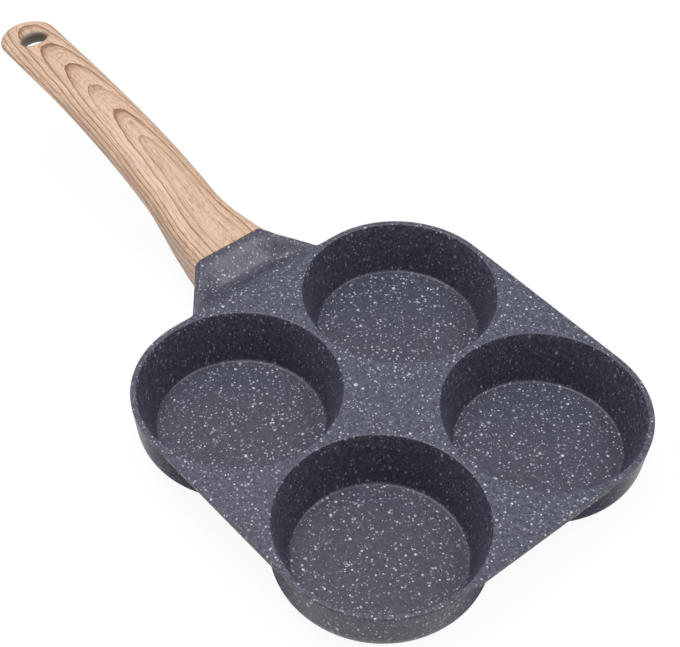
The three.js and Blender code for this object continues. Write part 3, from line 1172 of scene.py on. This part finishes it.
    def wall_offset(self, angles: Array) -> Array:
        """How far past the flat top's end, along the outline's normal, the wall meets the underside.

        Args:
            angles: Angles round the cup's middle.

        Returns:
            The distance at each angle, never below 0.
        """
        under_radius = self.wall_radius(self.height - self.plate_thickness)
        beyond = under_radius * np.cos(angles - self.normal_turn(angles)) - self.flat_reach
        return np.maximum(beyond, 0.0)

    def place(self, radius: Array, angles: Array, end: int) -> tuple[Array, Array]:
        """Plan place at a radius and angle from a cup's middle, near the handle (1) or far from it (-1)."""
        return end * (self.middle + radius * np.cos(angles)), self.middle + radius * np.sin(angles)

    def cup_top(self, end: int) -> Array:
        """A cup's inside and its share of the plate's top, from the floor's middle outwards.

        Args:
            end: 1 near the handle, -1 at the far cups.

        Returns:
            A grid with one row for each circle round the cup's middle.
        """
        angles, _, _ = self.cell_angles()
        inside = self.inside_profile()
        cup_x, cup_y = self.place(inside[:, :1], angles[None, :], end)
        cup = grid_of(cup_x, cup_y, inside[:, 1:])
        share = shares(self.plate_steps)[1:]
        x, y = self.place(blend(inside[-1, 0], self.cell_reach(angles), share), angles, end)
        return np.concatenate([cup, grid_of(x, y, self.top_height(x, y))])

    def cup_under(self, end: int) -> Array:
        """A cup's share of the plate's underside and its outside, down to the middle of its base.

        The underside meets the cup's wall where both have the same height, found by going to and fro
        between the wall's radius at a height and the underside's height at that radius.

        Args:
            end: 1 near the handle, -1 at the far cups.

        Returns:
            A grid from the plate's edge inwards and down.
        """
        angles, _, _ = self.cell_angles()
        z = np.full_like(angles, self.height - self.plate_thickness)
        for _ in range(self.meeting_rounds):
            radius = self.wall_radius(z)
            z = self.under_height(*self.place(radius, angles, end))
        share = shares(self.under_steps)
        edge_x, edge_y = self.place(self.cell_reach(angles), angles, end)
        turn = self.normal_turn(angles)
        offset = self.wall_offset(angles)
        wall_x, wall_y = self.place(radius, angles, end)
        x = blend(edge_x + end * offset * np.cos(turn), wall_x, share)
        y = blend(edge_y + offset * np.sin(turn), wall_y, share)
        under = grid_of(x, y, self.under_height(x, y))
        foot = self.foot_profile()
        down = shares(self.outer_wall_steps)[1:-1]
        wall_x, wall_y = self.place(blend(radius, foot[0, 0], down), angles, end)
        wall = grid_of(wall_x, wall_y, blend(z, foot[0, 1], down))
        foot_x, foot_y = self.place(foot[:, :1], angles[None, :], end)
        return np.concatenate([under, wall, grid_of(foot_x, foot_y, foot[:, 1:])])

    def edge(
        self, base: Array, turn: Array, width: Array, height: Array, power: Array, offset: Array, end: int
    ) -> Array:
        """Side of the casting along a plan path: bevel, upright side and bevel.

        Each column goes out from the path by the bevel's width along the outline's normal, while its height
        falls from the top to the underside.

        Args:
            base: Plan points where the flat top ends, with the shape columns, 2.
            turn: Angle of the outline's normal at each point.
            width: The bevel's width at each point.
            height: The bevel's height at each point.
            power: The bevel's superellipse power at each point.
            offset: How far the underside's edge lies outside the path; where the cup's wall is flush with the
                edge, the lower bevel runs straight into it.
            end: 1 near the handle, -1 at the far cups.

        Returns:
            A grid from the top's edge round to the underside's edge.
        """
        out, drop = bevel_curve(power, self.edge_steps)
        flush = offset / np.max(self.wall_offset(np.zeros(1)))
        low_out, low_drop = bevel_curve(blend(power, STRAIGHT_POWER, flush), self.edge_steps)
        low_height = blend(height, self.flush_bevel, flush)
        top = self.top_height(end * base[:, 0], base[:, 1])
        under = self.under_height(end * base[:, 0], base[:, 1])
        share = shares(self.side_steps)[1:-1]
        side = blend(top - height, under + low_height, share)
        z = np.concatenate([top - height * drop, side, under + low_height * low_drop[::-1]])
        low_reach = blend(offset, width, low_out[::-1])
        reach = np.concatenate([width * out, width * np.ones_like(side), low_reach])
        return grid_of(end * (base[:, 0] + reach * np.cos(turn)), base[:, 1] + reach * np.sin(turn), z)

    def lip(self, end: int) -> Array:
        """The plate's rounded outer edge round one cup, up to the neck's root on the handle's side.

        Args:
            end: 1 near the handle, -1 at the far cups.

        Returns:
            A grid from the top's edge round to the underside's edge.
        """
        angles, root, last = self.cell_angles()
        angles = angles[(root if end == 1 else 0) : last + 1]
        x, y = self.place(self.cell_reach(angles), angles, 1)
        size = np.full_like(angles, self.lip_rounding)
        power = np.full_like(angles, ROUND_POWER)
        base = np.stack([x, y], axis=1)
        return self.edge(base, self.normal_turn(angles), size, size, power, self.wall_offset(angles), end)

    def neck_path(self) -> tuple[Array, Array, Array, Array, Array]:
        """The neck's outline in plan: an arc that leaves the plate's edge, then a straight taper.

        Returns:
            The plan points where its top ends, the normal's angle there, and the bevel's width, height and
            power.
        """
        arc = np.linspace(0.0, self.root_turn, self.fillet_steps + 1)
        arc_x = self.body_half + self.neck_fillet * (1.0 - np.cos(arc))
        arc_y = self.root_y - self.neck_fillet * np.sin(arc)
        line_x = np.linspace(arc_x[-1], self.neck_end, self.taper_steps + 1)[1:]
        line_y = arc_y[-1] - self.taper * (line_x - arc_x[-1])
        along = (line_x - arc_x[-1]) / (self.neck_end - arc_x[-1])
        turn = np.concatenate([arc, blend(self.root_turn, QUARTER, along)])
        x = np.concatenate([arc_x, line_x])
        grown = np.clip((x - self.body_half) / (self.bevel_full_x - self.body_half), 0.0, 1.0)
        width = blend(self.lip_rounding, self.joint_bevel_width, grown)
        height = blend(self.lip_rounding, self.joint_bevel_height, grown)
        power = blend(ROUND_POWER, self.joint_bevel_power, grown)
        y = np.concatenate([arc_y, line_y])
        base = np.stack([x - width * np.cos(turn), y - width * np.sin(turn)], axis=1)
        return base, turn, width, height, power

    def neck(self) -> Array:
        """One side of the neck, from its top's middle line round to its underside's middle line.

        Its columns run from the plate to the handle. They go on over the end's rounded edge, across the
        joint's face to the tang, along the tang and to the middle of its tip.

        Returns:
            A grid with one column for each place along the neck, the joint and the tang.
        """
        angles, root, _ = self.cell_angles()
        _, root_y = self.place(self.cell_reach(angles[: root + 1]), angles[: root + 1], 1)
        across = (root_y / root_y[-1])[:, None]
        base, turn, width, height, power = self.neck_path()
        x, y = np.broadcast_arrays(base[:, 0], base[:, 1] * across)
        top = grid_of(x, y, self.top_height(x, y))
        under = grid_of(x, y, self.under_height(x, y))[::-1]
        side = self.edge(base, turn, width, height, power, np.zeros_like(width), 1)[1:-1]
        strip = np.concatenate([top, side, under])
        return np.concatenate([strip, self.joint_and_tang(strip[:, -1])], axis=1)

    def joint_and_tang(self, ring: Array) -> Array:
        """Rings that lead from the neck's end over its softened edge to the tang and its tip.

        Args:
            ring: The points at the neck's end, from the top's middle line round to the underside's.

        Returns:
            A grid with one column for each ring.
        """
        middle = self.height + self.joint_middle
        tang_z = self.height + self.tang_root_z
        flat = self.tang_half_thickness / self.joint_half_height
        wide = self.tang_half_width / self.joint_half
        tip = self.tang_tip_half_width / self.joint_half
        near, face = self.edge_setback
        stations = [
            (self.neck_end + near, *SOFT_EDGE[0], middle),
            (self.neck_end + face, *SOFT_EDGE[1], middle),
            (self.neck_end + face, wide, flat, tang_z),
            (self.tang_end, tip, flat, tang_z + self.tang_rise),
            (self.tang_end, 0.0, 0.0, tang_z + self.tang_rise),
        ]
        return scaled_rings(ring, middle, stations)

    def neck_half(self, x: Array) -> Array:
        """Half the neck's width at places along x."""
        return self.neck_root_half - self.taper * np.maximum(x - self.body_half, 0.0)

    def neck_painted_shade_mask(self, x: Array, y: Array, z: Array) -> Array:
        """How much painted shade darkens the neck's top: most along its valley, and less where it meets the
        handle.

        Args:
            x: Places along x.
            y: Places along y.
            z: Their heights.

        Returns:
            The painted shade at each place, 0 off the neck's top.
        """
        start, lowest, end = self.valley
        along = smoothstep(x, start, lowest) * (1.0 - smoothstep(x, lowest, end))
        along = along + self.joint_painted_shade * smoothstep(x, self.joint_painted_shade_start, self.neck_end)
        across = 1.0 - smoothstep(np.abs(y) / self.neck_half(x), self.painted_shade_fade, 1.0)
        return along * across * (z > self.height - self.plate_thickness / 2.0)

    def recess_painted_shade_mask(self, x: Array, y: Array, z: Array) -> Array:
        """Painted shade on a cup's outside, growing as it turns from the pan's corner to face the other cups.

        The turn is the angle between the way out from the cup's middle and the diagonal to the pan's corner.
        The painted shade fades out towards the base.

        Args:
            x: Places along x.
            y: Places along y.
            z: Their heights.

        Returns:
            The tone at each place, 0 off the cups' outsides.
        """
        out_x, out_y = np.abs(x) - self.middle, np.abs(y) - self.middle
        radius = np.maximum(np.hypot(out_x, out_y), self.inside_margin)
        cosine = np.clip((out_x + out_y) / (math.sqrt(2.0) * radius), -1.0, 1.0)
        turn = np.degrees(np.arccos(cosine))
        below_plate = z < self.height - self.plate_thickness / 2.0
        on_wall = (radius < self.wall_radius(z) + self.inside_margin) & below_plate
        return smoothstep(turn, *self.recess_turn) * smoothstep(z, 0.0, self.recess_fade) * on_wall

    def mark_painted_shade(self, piece: bpy.types.Object, shift: float) -> None:
        """Writes where shade is painted on the coating: a cup's depth and wall, the neck's valley and joint,
        and the recess.

        The depth is the share of the way from the rim to the floor. A point is inside where it lies no more
        than a margin outside the wall's own radius at its height.

        Args:
            piece: The finished casting.
            shift: The frame's origin along x, in millimetres from the middle of the cups.
        """
        x, y, z = points_of(piece, shift).T
        radius = np.hypot(np.abs(x) - self.middle, np.abs(y) - self.middle)
        depth = (self.height - z) / self.depth
        wall_radius = blend(self.rim_radius, self.foot_radius, depth)
        above_floor = z > self.height - self.depth - self.inside_margin
        inside = (radius < wall_radius + self.inside_margin) & above_floor
        depth = np.where(inside, np.clip(depth, 0.0, 1.0), 0.0)
        off_floor = smoothstep(radius, self.foot_radius - self.floor_fillet, self.foot_radius)
        wall = smoothstep(depth, 0.0, self.lit_share) * off_floor
        mark_points(piece, "painted_shade", np.stack([depth, wall, self.neck_painted_shade_mask(x, y, z)], axis=1))
        mark_values(piece, "painted_recess_mask", np.where(inside, 0.0, self.recess_painted_shade_mask(x, y, z)))

    def build(self, shift: float) -> bpy.types.Object:
        """Welds the casting, drills the tang and marks where shade is painted on the coating.

        Args:
            shift: The frame's origin along x, in millimetres from the middle of the cups.

        Returns:
            The casting's object.
        """
        skin = Skin()
        for end in (1, -1):
            skin.add_both_sides(self.cup_top(end))
            skin.add_both_sides(self.lip(end))
            skin.add_both_sides(self.cup_under(end))
        skin.add_both_sides(self.neck())
        casting = write_piece("coated_casting", skin, shift)
        reach = self.tang_rise + self.tang_half_thickness + self.screw_hole_radius
        low, high = self.height + self.tang_root_z - reach, self.height + self.tang_root_z + reach
        radius = self.screw_hole_radius
        profile = np.array([(0.0, low), (radius, low), (radius, high), (0.0, high)])
        drill = write_piece("tang_drill", turned_skin(profile, self.screw_x, self.drill_segments), shift)
        cut_away(casting, [drill])
        sharpen(casting, self.sharp_angle)
        self.mark_painted_shade(casting, shift)
        return casting


# The handle


@dataclass(frozen=True)
class GripSection:
    """One cross-section of the handle; z is measured from the rims. Millimetres."""

    x: float
    z: float
    half_width: float
    half_height: float
    roundness: float


@dataclass(frozen=True)
class Handle:
    """Moulded wood-look grip with a bevelled front, a hanging hole and a screw well below. Millimetres."""

    # Lofted sections
    rim_height: float = 28.4
    sections: tuple[GripSection, ...] = (
        GripSection(115.15, -2.25, 20.3, 10.25, 0.0),
        GripSection(138.0, 1.2, 16.8, 10.2, 0.25),
        GripSection(160.0, 11.3, 16.0, 8.9, 1.0),
        GripSection(190.0, 19.5, 15.2, 8.1, 1.0),
        GripSection(230.0, 26.1, 14.7, 6.4, 1.0),
        GripSection(282.0, 30.5, 15.1, 3.52, 1.0),
    )
    bevel_width: float = 3.4
    bevel_height: float = 2.6
    bevel_power: float = 1.25
    oval_power: float = 2.4
    edge_setback: tuple[float, float] = (0.05, 0.12)
    swell_end: float = 160.0
    # Tail and hanging hole
    patch_x: float = 255.0
    tail_length: float = 11.5
    tail_power: float = 1.88
    tail_overrun: float = 2.0
    hole_x: float = 276.5
    hole_half_length: float = 3.7
    hole_half_width: float = 6.6
    hole_rounding: float = 2.4
    hole_wall_dark_share: float = 0.70
    # Socket and screw well
    socket_end: float = 143.3
    socket_root_z: float = -0.7
    socket_rise: float = 4.2
    socket_half_width: float = 10.8
    socket_tip_half_width: float = 9.3
    socket_half_thickness: float = 3.05
    screw_x: float = 130.0
    screw_seat: float = -4.0
    screw_hole_radius: float = 2.85
    well_radius: float = 5.5
    well_reach: float = 30.0
    # Steps of the grids
    quarter_steps: int = 28
    curve_steps: int = 2600
    tangent_rows: int = 100
    swell_steps: int = 50
    slim_steps: int = 80
    outline_steps: int = 48
    land_steps: int = 18
    land_crowding: float = 1.8
    mouth_steps: int = 9
    throat_steps: int = 6
    well_segments: int = 64
    sharp_angle: float = 40.0

    def curve(self) -> Array:
        """The sections carried along a smooth curve, as rows of x, z, half width, half height, roundness.

        Each measure runs through the sections as a Catmull-Rom curve, and one more row carries the tail on
        in a straight line.

        Returns:
            The rows, from the front section to past the tail.
        """
        knots = np.array([(s.x, s.z, s.half_width, s.half_height, s.roundness) for s in self.sections])
        padded = np.concatenate([knots[:1], knots, knots[-1:]])
        run = np.linspace(0.0, len(knots) - 1.0, self.curve_steps + 1)
        k = np.minimum(run.astype(int), len(knots) - 2)
        t = (run - k)[:, None]
        p0, p1, p2, p3 = (padded[k + i] for i in range(4))
        pull_in, pull_out = (p2 - p0) / 2.0, (p3 - p1) / 2.0
        cubic = (2.0 * (p1 - p2) + pull_in + pull_out) * t**3
        square = (3.0 * (p2 - p1) - 2.0 * pull_in - pull_out) * t**2
        rows = cubic + square + pull_in * t + p1
        rows[:, 4] = np.clip(rows[:, 4], 0.0, 1.0)
        before = rows[-self.tangent_rows]
        slope = (rows[-1] - before) / (rows[-1, 0] - before[0])
        past = rows[-1] + slope * (self.tail_length + self.tail_overrun)
        past[2:] = rows[-1, 2:]
        return np.concatenate([rows, past[None, :]])

    def measures(self, x: Array) -> tuple[Array, Array, Array, Array]:
        """Middle height, half width, half height and roundness at places along x.

        Args:
            x: Places along x.

        Returns:
            The four measures at each place; the height is above the base's plane.
        """
        rows = self.curve()
        z, wide, high, roundness = (np.interp(x, rows[:, 0], rows[:, i]) for i in range(1, 5))
        return self.rim_height + z, wide, high, roundness

    def half_ring(self, x: Array) -> Array:
        """One side of the cross-sections at x, from the top's middle line round to the underside's.

        A quarter is a flat top, a superellipse corner and an upright side. As the roundness goes to 1, the
        corner grows until it takes up the whole quarter, which makes the section an oval.

        Args:
            x: Places along x.

        Returns:
            A grid with one column for each place.
        """
        middle, wide, high, roundness = self.measures(x)
        bevel_w = blend(self.bevel_width, wide, roundness)
        bevel_h = blend(self.bevel_height, high, roundness)
        grade = 2.0 / blend(self.bevel_power, self.oval_power, roundness)
        flat, slant, side = wide - bevel_w, np.hypot(bevel_w, bevel_h), high - bevel_h
        run = shares(self.quarter_steps) * (flat + slant + side)
        t = np.clip((run - flat) / slant, 0.0, 1.0) * QUARTER
        y = np.minimum(run, flat) + bevel_w * np.sin(t) ** grade
        z = side + bevel_h * np.maximum(np.cos(t), 0.0) ** grade - np.maximum(run - flat - slant, 0.0)
        upper = grid_of(x, y, middle + z)
        lower = grid_of(x, y, middle - z)[::-1]
        return np.concatenate([upper, lower[1:]])

    def grip(self) -> Array:
        """One side of the handle from the socket's end, out over the front edge and along to the tail.

        Returns:
            A grid with one column for each section.
        """
        start = self.sections[0].x + self.edge_setback[1]
        x = stretches([start, self.swell_end, self.patch_x], [self.swell_steps, self.slim_steps])
        skin = self.half_ring(x)
        return np.concatenate([self.socket(skin[:, 0]), skin], axis=1)

    def socket(self, ring: Array) -> Array:
        """Rings from the socket's end to its mouth and across the front face to the softened front edge.

        Args:
            ring: The points at the grip's start, from the top's middle line round to the underside's.

        Returns:
            A grid with one column for each ring.
        """
        first = self.sections[0]
        middle = self.rim_height + first.z
        root = self.rim_height + self.socket_root_z
        flat = self.socket_half_thickness / first.half_height
        wide = self.socket_half_width / first.half_width
        tip = self.socket_tip_half_width / first.half_width
        stations = [
            (self.socket_end, 0.0, 0.0, root + self.socket_rise),
            (self.socket_end, tip, flat, root + self.socket_rise),
            (first.x, wide, flat, root),
            (first.x, *SOFT_EDGE[1], middle),
            (first.x + self.edge_setback[0], *SOFT_EDGE[0], middle),
        ]
        return scaled_rings(ring, middle, stations)

    def dome(self, x: Array, y: Array) -> Array:
        """Half thickness of the tail over a plan place, an oval across x that closes round the tip.

        high * (1 - q ** oval) ** (1 / oval), where q is the place's share of the way to the outline.

        Args:
            x: Places along x.
            y: Places along y.

        Returns:
            The half thickness at each place, 0 outside the outline.
        """
        _, wide, high, _ = self.measures(x)
        past = np.maximum(x - self.sections[-1].x, 0.0) / self.tail_length
        p = self.tail_power
        q = ((np.abs(y) / wide) ** p + past**p) ** (1.0 / p)
        return high * np.maximum(1.0 - q**self.oval_power, 0.0) ** (1.0 / self.oval_power)

    def tail_outline(self) -> Array:
        """The tail's outline in plan on one side, from the tip to where the grip takes over, then across.

        Returns:
            The plan points as rows of x and y.
        """
        end = self.sections[-1]
        grade = 2.0 / self.tail_power
        turn = np.linspace(QUARTER, 0.0, self.outline_steps)
        round_x = end.x + self.tail_length * np.sin(turn) ** grade
        round_y = end.half_width * np.maximum(np.cos(turn), 0.0) ** grade
        side_x = np.linspace(end.x, self.patch_x, self.outline_steps // 2)[1:]
        _, side_y, _, _ = self.measures(side_x)
        across = self.half_ring(np.array([self.patch_x]))[: self.quarter_steps, 0][::-1]
        x = np.concatenate([round_x, side_x, across[:, 0]])
        y = np.concatenate([round_y, side_y, across[:, 1]])
        return np.stack([x, y], axis=1)

    def tail(self) -> Array:
        """One side of the tail as rays from its outline to the hanging hole, through it and back below.

        The rows crowd at the outline, where the dome is steep. At the hole's mouth the plan place goes in as
        a sine while the surface sinks as one minus a cosine, which rounds the mouth off into the throat.

        Returns:
            A grid with one column for each ray.
        """
        outline = self.tail_outline()
        mouth_half = np.array([self.hole_half_length, self.hole_half_width]) + self.hole_rounding
        angle = np.arctan2(outline[:, 1] / mouth_half[1], (outline[:, 0] - self.hole_x) / mouth_half[0])
        spoke = np.stack([np.cos(angle), np.sin(angle)], axis=1)
        centre = np.array([self.hole_x, 0.0])
        mouth = centre + spoke * mouth_half
        throat = centre + spoke * (mouth_half - self.hole_rounding)
        share = shares(self.land_steps)[:, :, None] ** self.land_crowding
        land = blend(outline[None], mouth[None], share)
        t = shares(self.mouth_steps)[1:] * QUARTER
        lip = blend(mouth[None], throat[None], np.sin(t)[:, :, None])
        plan = np.concatenate([land, lip])
        sunk = np.concatenate([np.zeros((len(land), 1)), self.hole_rounding * (1.0 - np.cos(t))])
        middle, _, _, _ = self.measures(plan[..., 0])
        half = self.dome(plan[..., 0], plan[..., 1]) - sunk
        upper = grid_of(plan[..., 0], plan[..., 1], middle + half)
        lower = grid_of(plan[..., 0], plan[..., 1], middle - half)[::-1]
        down = shares(self.throat_steps)[1:-1, :, None]
        return np.concatenate([upper, blend(upper[-1], lower[0], down), lower])

    def mark_grain(self, piece: bpy.types.Object, shift: float) -> None:
        """Writes each point's place in the straightened handle, and how far it is darkened towards the
        hanging hole's wall.

        The place is x from the middle of the cups, y, and the depth below the top of the section. The print
        follows it, and the hanging hole's wall is darker.

        Args:
            piece: The finished handle.
            shift: The frame's origin along x, in millimetres from the middle of the cups.
        """
        points = points_of(piece, shift)
        middle, _, high, _ = self.measures(points[:, 0])
        grain = np.stack([points[:, 0], points[:, 1], high - (points[:, 2] - middle)], axis=1)
        mark_points(piece, "grain", grain)
        mouth_length = self.hole_half_length + self.hole_rounding
        mouth_width = self.hole_half_width + self.hole_rounding
        off_axis = np.hypot((points[:, 0] - self.hole_x) / mouth_length, points[:, 1] / mouth_width)
        hole_wall_darkening = 1.0 - smoothstep(off_axis, self.hole_wall_dark_share, 1.0)
        mark_values(piece, "hole_wall_darkening", hole_wall_darkening)

    def screw_well(self, shift: float) -> bpy.types.Object:
        """The space that the screw goes up through: a wide well from below, a seat and a narrow bore.

        Args:
            shift: The frame's origin along x, in millimetres from the middle of the cups.

        Returns:
            A closed piece to cut away.
        """
        floor, bore_top = self.rim_height - self.well_reach, self.rim_height + self.socket_root_z
        seat = self.rim_height + self.screw_seat
        profile = np.array([
            (0.0, floor),
            (self.well_radius, floor),
            (self.well_radius, seat),
            (self.screw_hole_radius, seat),
            (self.screw_hole_radius, bore_top),
            (0.0, bore_top),
        ])
        return write_piece("screw_well", turned_skin(profile, self.screw_x, self.well_segments), shift)

    def build(self, shift: float) -> bpy.types.Object:
        """Welds the handle, cuts the screw's well and marks the grain.

        Args:
            shift: The frame's origin along x, in millimetres from the middle of the cups.

        Returns:
            The handle's object.
        """
        skin = Skin()
        skin.add_both_sides(self.grip())
        skin.add_both_sides(self.tail())
        piece = write_piece("wood_look_grip", skin, shift)
        cut_away(piece, [self.screw_well(shift)])
        sharpen(piece, self.sharp_angle)
        self.mark_grain(piece, shift)
        return piece


# The setting


@dataclass(frozen=True)
class PhotoCamera:
    """The photograph's camera, with the view centred. Lengths in millimetres, angles in degrees."""

    target: tuple[float, float, float] = (-50.67, -11.8, 28.4)
    distance: float = 741.1
    azimuth: float = 138.492
    elevation: float = 46.167
    roll: float = 1.59
    lens: float = 86.22
    sensor: float = 36.0
    clip_start: float = 10.0
    clip_end: float = 50000.0

    def place(self) -> None:
        """Adds the camera and makes it the scene's own."""
        data = bpy.data.cameras.new("photo_camera")
        data.lens = self.lens
        data.sensor_width = self.sensor
        data.clip_start = self.clip_start * MM
        data.clip_end = self.clip_end * MM
        azimuth, elevation = math.radians(self.azimuth), math.radians(self.elevation)
        level = math.cos(elevation)
        back = Vector((level * math.cos(azimuth), level * math.sin(azimuth), math.sin(elevation)))
        eye = (Vector(self.target) + back * self.distance) * MM
        right = Vector((0.0, 0.0, 1.0)).cross(back).normalized()
        turn = Matrix.Rotation(math.radians(self.roll), 3, back)
        axes = turn @ Matrix((right, back.cross(right), back)).transposed()
        camera = bpy.data.objects.new("photo_camera", data)
        camera.matrix_world = Matrix.Translation(eye) @ axes.to_4x4()
        bpy.context.scene.collection.objects.link(camera)
        bpy.context.scene.camera = camera


@dataclass(frozen=True)
class Softbox:
    """One studio lamp with a square front; metres, watts and degrees."""

    name: str
    place: tuple[float, float, float]
    size: float
    power: float
    aim: tuple[float, float, float] = (-0.05, 0.0, 0.03)
    spread: float = 180.0

    def hang(self) -> None:
        """Adds the lamp, turned to face what it is aimed at."""
        data = bpy.data.lights.new(self.name, "AREA")
        data.shape = "SQUARE"
        data.size = self.size
        data.energy = self.power
        data.spread = math.radians(self.spread)
        lamp = bpy.data.objects.new(self.name, data)
        lamp.location = self.place
        lamp.rotation_euler = (Vector(self.aim) - Vector(self.place)).to_track_quat("-Z", "Y").to_euler()
        bpy.context.scene.collection.objects.link(lamp)


@dataclass(frozen=True)
class Studio:
    """Pale floor, soft lamps and an even surround. Lengths in metres."""

    floor_half: float = 6.0
    floor_white: tuple[float, ...] = (0.90, 0.90, 0.90, 1.0)
    lit_share: float = 0.06
    surround: tuple[float, ...] = (1.0, 1.0, 1.0, 1.0)
    surround_strength: float = 0.27
    lamps: tuple[Softbox, ...] = (
        Softbox("overhead_box", (0.37, 0.19, 1.9), 1.15, 36.5),
        Softbox("side_glint", (-0.76, -0.82, 1.53), 0.5, 14.0),
        Softbox("handle_fill", (0.42, 0.62, 0.16), 0.3, 0.06, (0.11, 0.0, 0.045), 40.0),
    )

    def build(self) -> None:
        """Hangs the lamps, lays the floor, lights the surround and sets the plain view transform."""
        for lamp in self.lamps:
            lamp.hang()
        self.lay_floor()
        self.light_surround()
        bpy.context.scene.view_settings.view_transform = "Standard"

    @staticmethod
    def seen_ray(wiring: Wiring) -> Socket:
        """1 for a ray from the camera, a reflection or a view through glass, else 0.

        Args:
            wiring: The wiring of the floor's or the surround's tree.

        Returns:
            1 or 0 for each ray.
        """
        path = wiring.node("ShaderNodeLightPath")
        seen = wiring.math("MAXIMUM", path.outputs["Is Camera Ray"], path.outputs["Is Glossy Ray"])
        return wiring.math("MAXIMUM", seen, path.outputs["Is Transmission Ray"])

    def lay_floor(self) -> None:
        """A wide plane that looks white to the camera and keeps a faint shadow."""
        half = self.floor_half
        corners = [(-half, -half, 0.0), (half, -half, 0.0), (half, half, 0.0), (-half, half, 0.0)]
        mesh = bpy.data.meshes.new("floor")
        mesh.from_pydata(corners, [], [(0, 1, 2, 3)])
        floor = bpy.data.objects.new("floor", mesh)
        bpy.context.scene.collection.objects.link(floor)
        wiring, material, shader = new_material("pale_floor")
        shader.inputs["Base Color"].default_value = self.floor_white
        shader.inputs["Roughness"].default_value = 1.0
        shader.inputs["Specular IOR Level"].default_value = 0.0
        glow = wiring.node("ShaderNodeEmission")
        mixed = wiring.node("ShaderNodeMixShader")
        wiring.feed(mixed.inputs[0], wiring.math("MULTIPLY", self.seen_ray(wiring), 1.0 - self.lit_share))
        wiring.feed(mixed.inputs[1], shader.outputs[0])
        wiring.feed(mixed.inputs[2], glow.outputs[0])
        wiring.feed(wiring.tree.nodes["Material Output"].inputs["Surface"], mixed.outputs[0])
        mesh.materials.append(material)

    def light_surround(self) -> None:
        """White to the camera and in reflections, and an even soft light to the object."""
        world = bpy.data.worlds.new("surround")
        bpy.context.scene.world = world
        world.use_nodes = True
        wiring = Wiring(world.node_tree)
        light = world.node_tree.nodes["Background"]
        light.inputs["Color"].default_value = self.surround
        extra = wiring.math("MULTIPLY", self.seen_ray(wiring), 1.0 - self.surround_strength)
        wiring.feed(light.inputs["Strength"], wiring.math("ADD", extra, self.surround_strength))


def dress(piece: bpy.types.Object, material: bpy.types.Material) -> None:
    """Gives a piece one material all over."""
    piece.data.materials.clear()
    piece.data.materials.append(material)


def seat(piece: bpy.types.Object, node: Part, slot: Slot) -> None:
    """Lets a new piece ride on the frame in place of a node, and hides the node.

    Args:
        piece: The new piece.
        node: The node that it stands for.
        slot: Not used.
    """
    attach(piece, ROOT_BODY)
    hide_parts(node.value)
    log.info("%s stands for %s with %d faces", piece.name, node.value, len(piece.data.polygons))


def main() -> None:
    """Builds the camera, the setting and the pieces in order."""
    logging.basicConfig(level=logging.INFO, format="%(name)s: %(message)s")
    PhotoCamera().place()
    Studio().build()
    effects = Effects()
    body = PanBody()
    shift = -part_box(Part.PAN_BODY.value)[0].x / MM - body.body_half
    casting = body.build(shift)
    dress(casting, SpeckledCoating().make(effects))
    seat(casting, Part.PAN_BODY, Slot.COATING)
    grip = Handle().build(shift)
    dress(grip, WoodLook().make(effects))
    seat(grip, Part.HANDLE, Slot.WOOD)
    zinc = ZincSteel().make(effects)
    for part in (Part.SCREW, Part.FLAT_WASHER, Part.SPRING_WASHER):
        dress(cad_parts[part.value], zinc)
        log.info("%s keeps its solid", part.value)


if __name__ == "__main__":
    main()
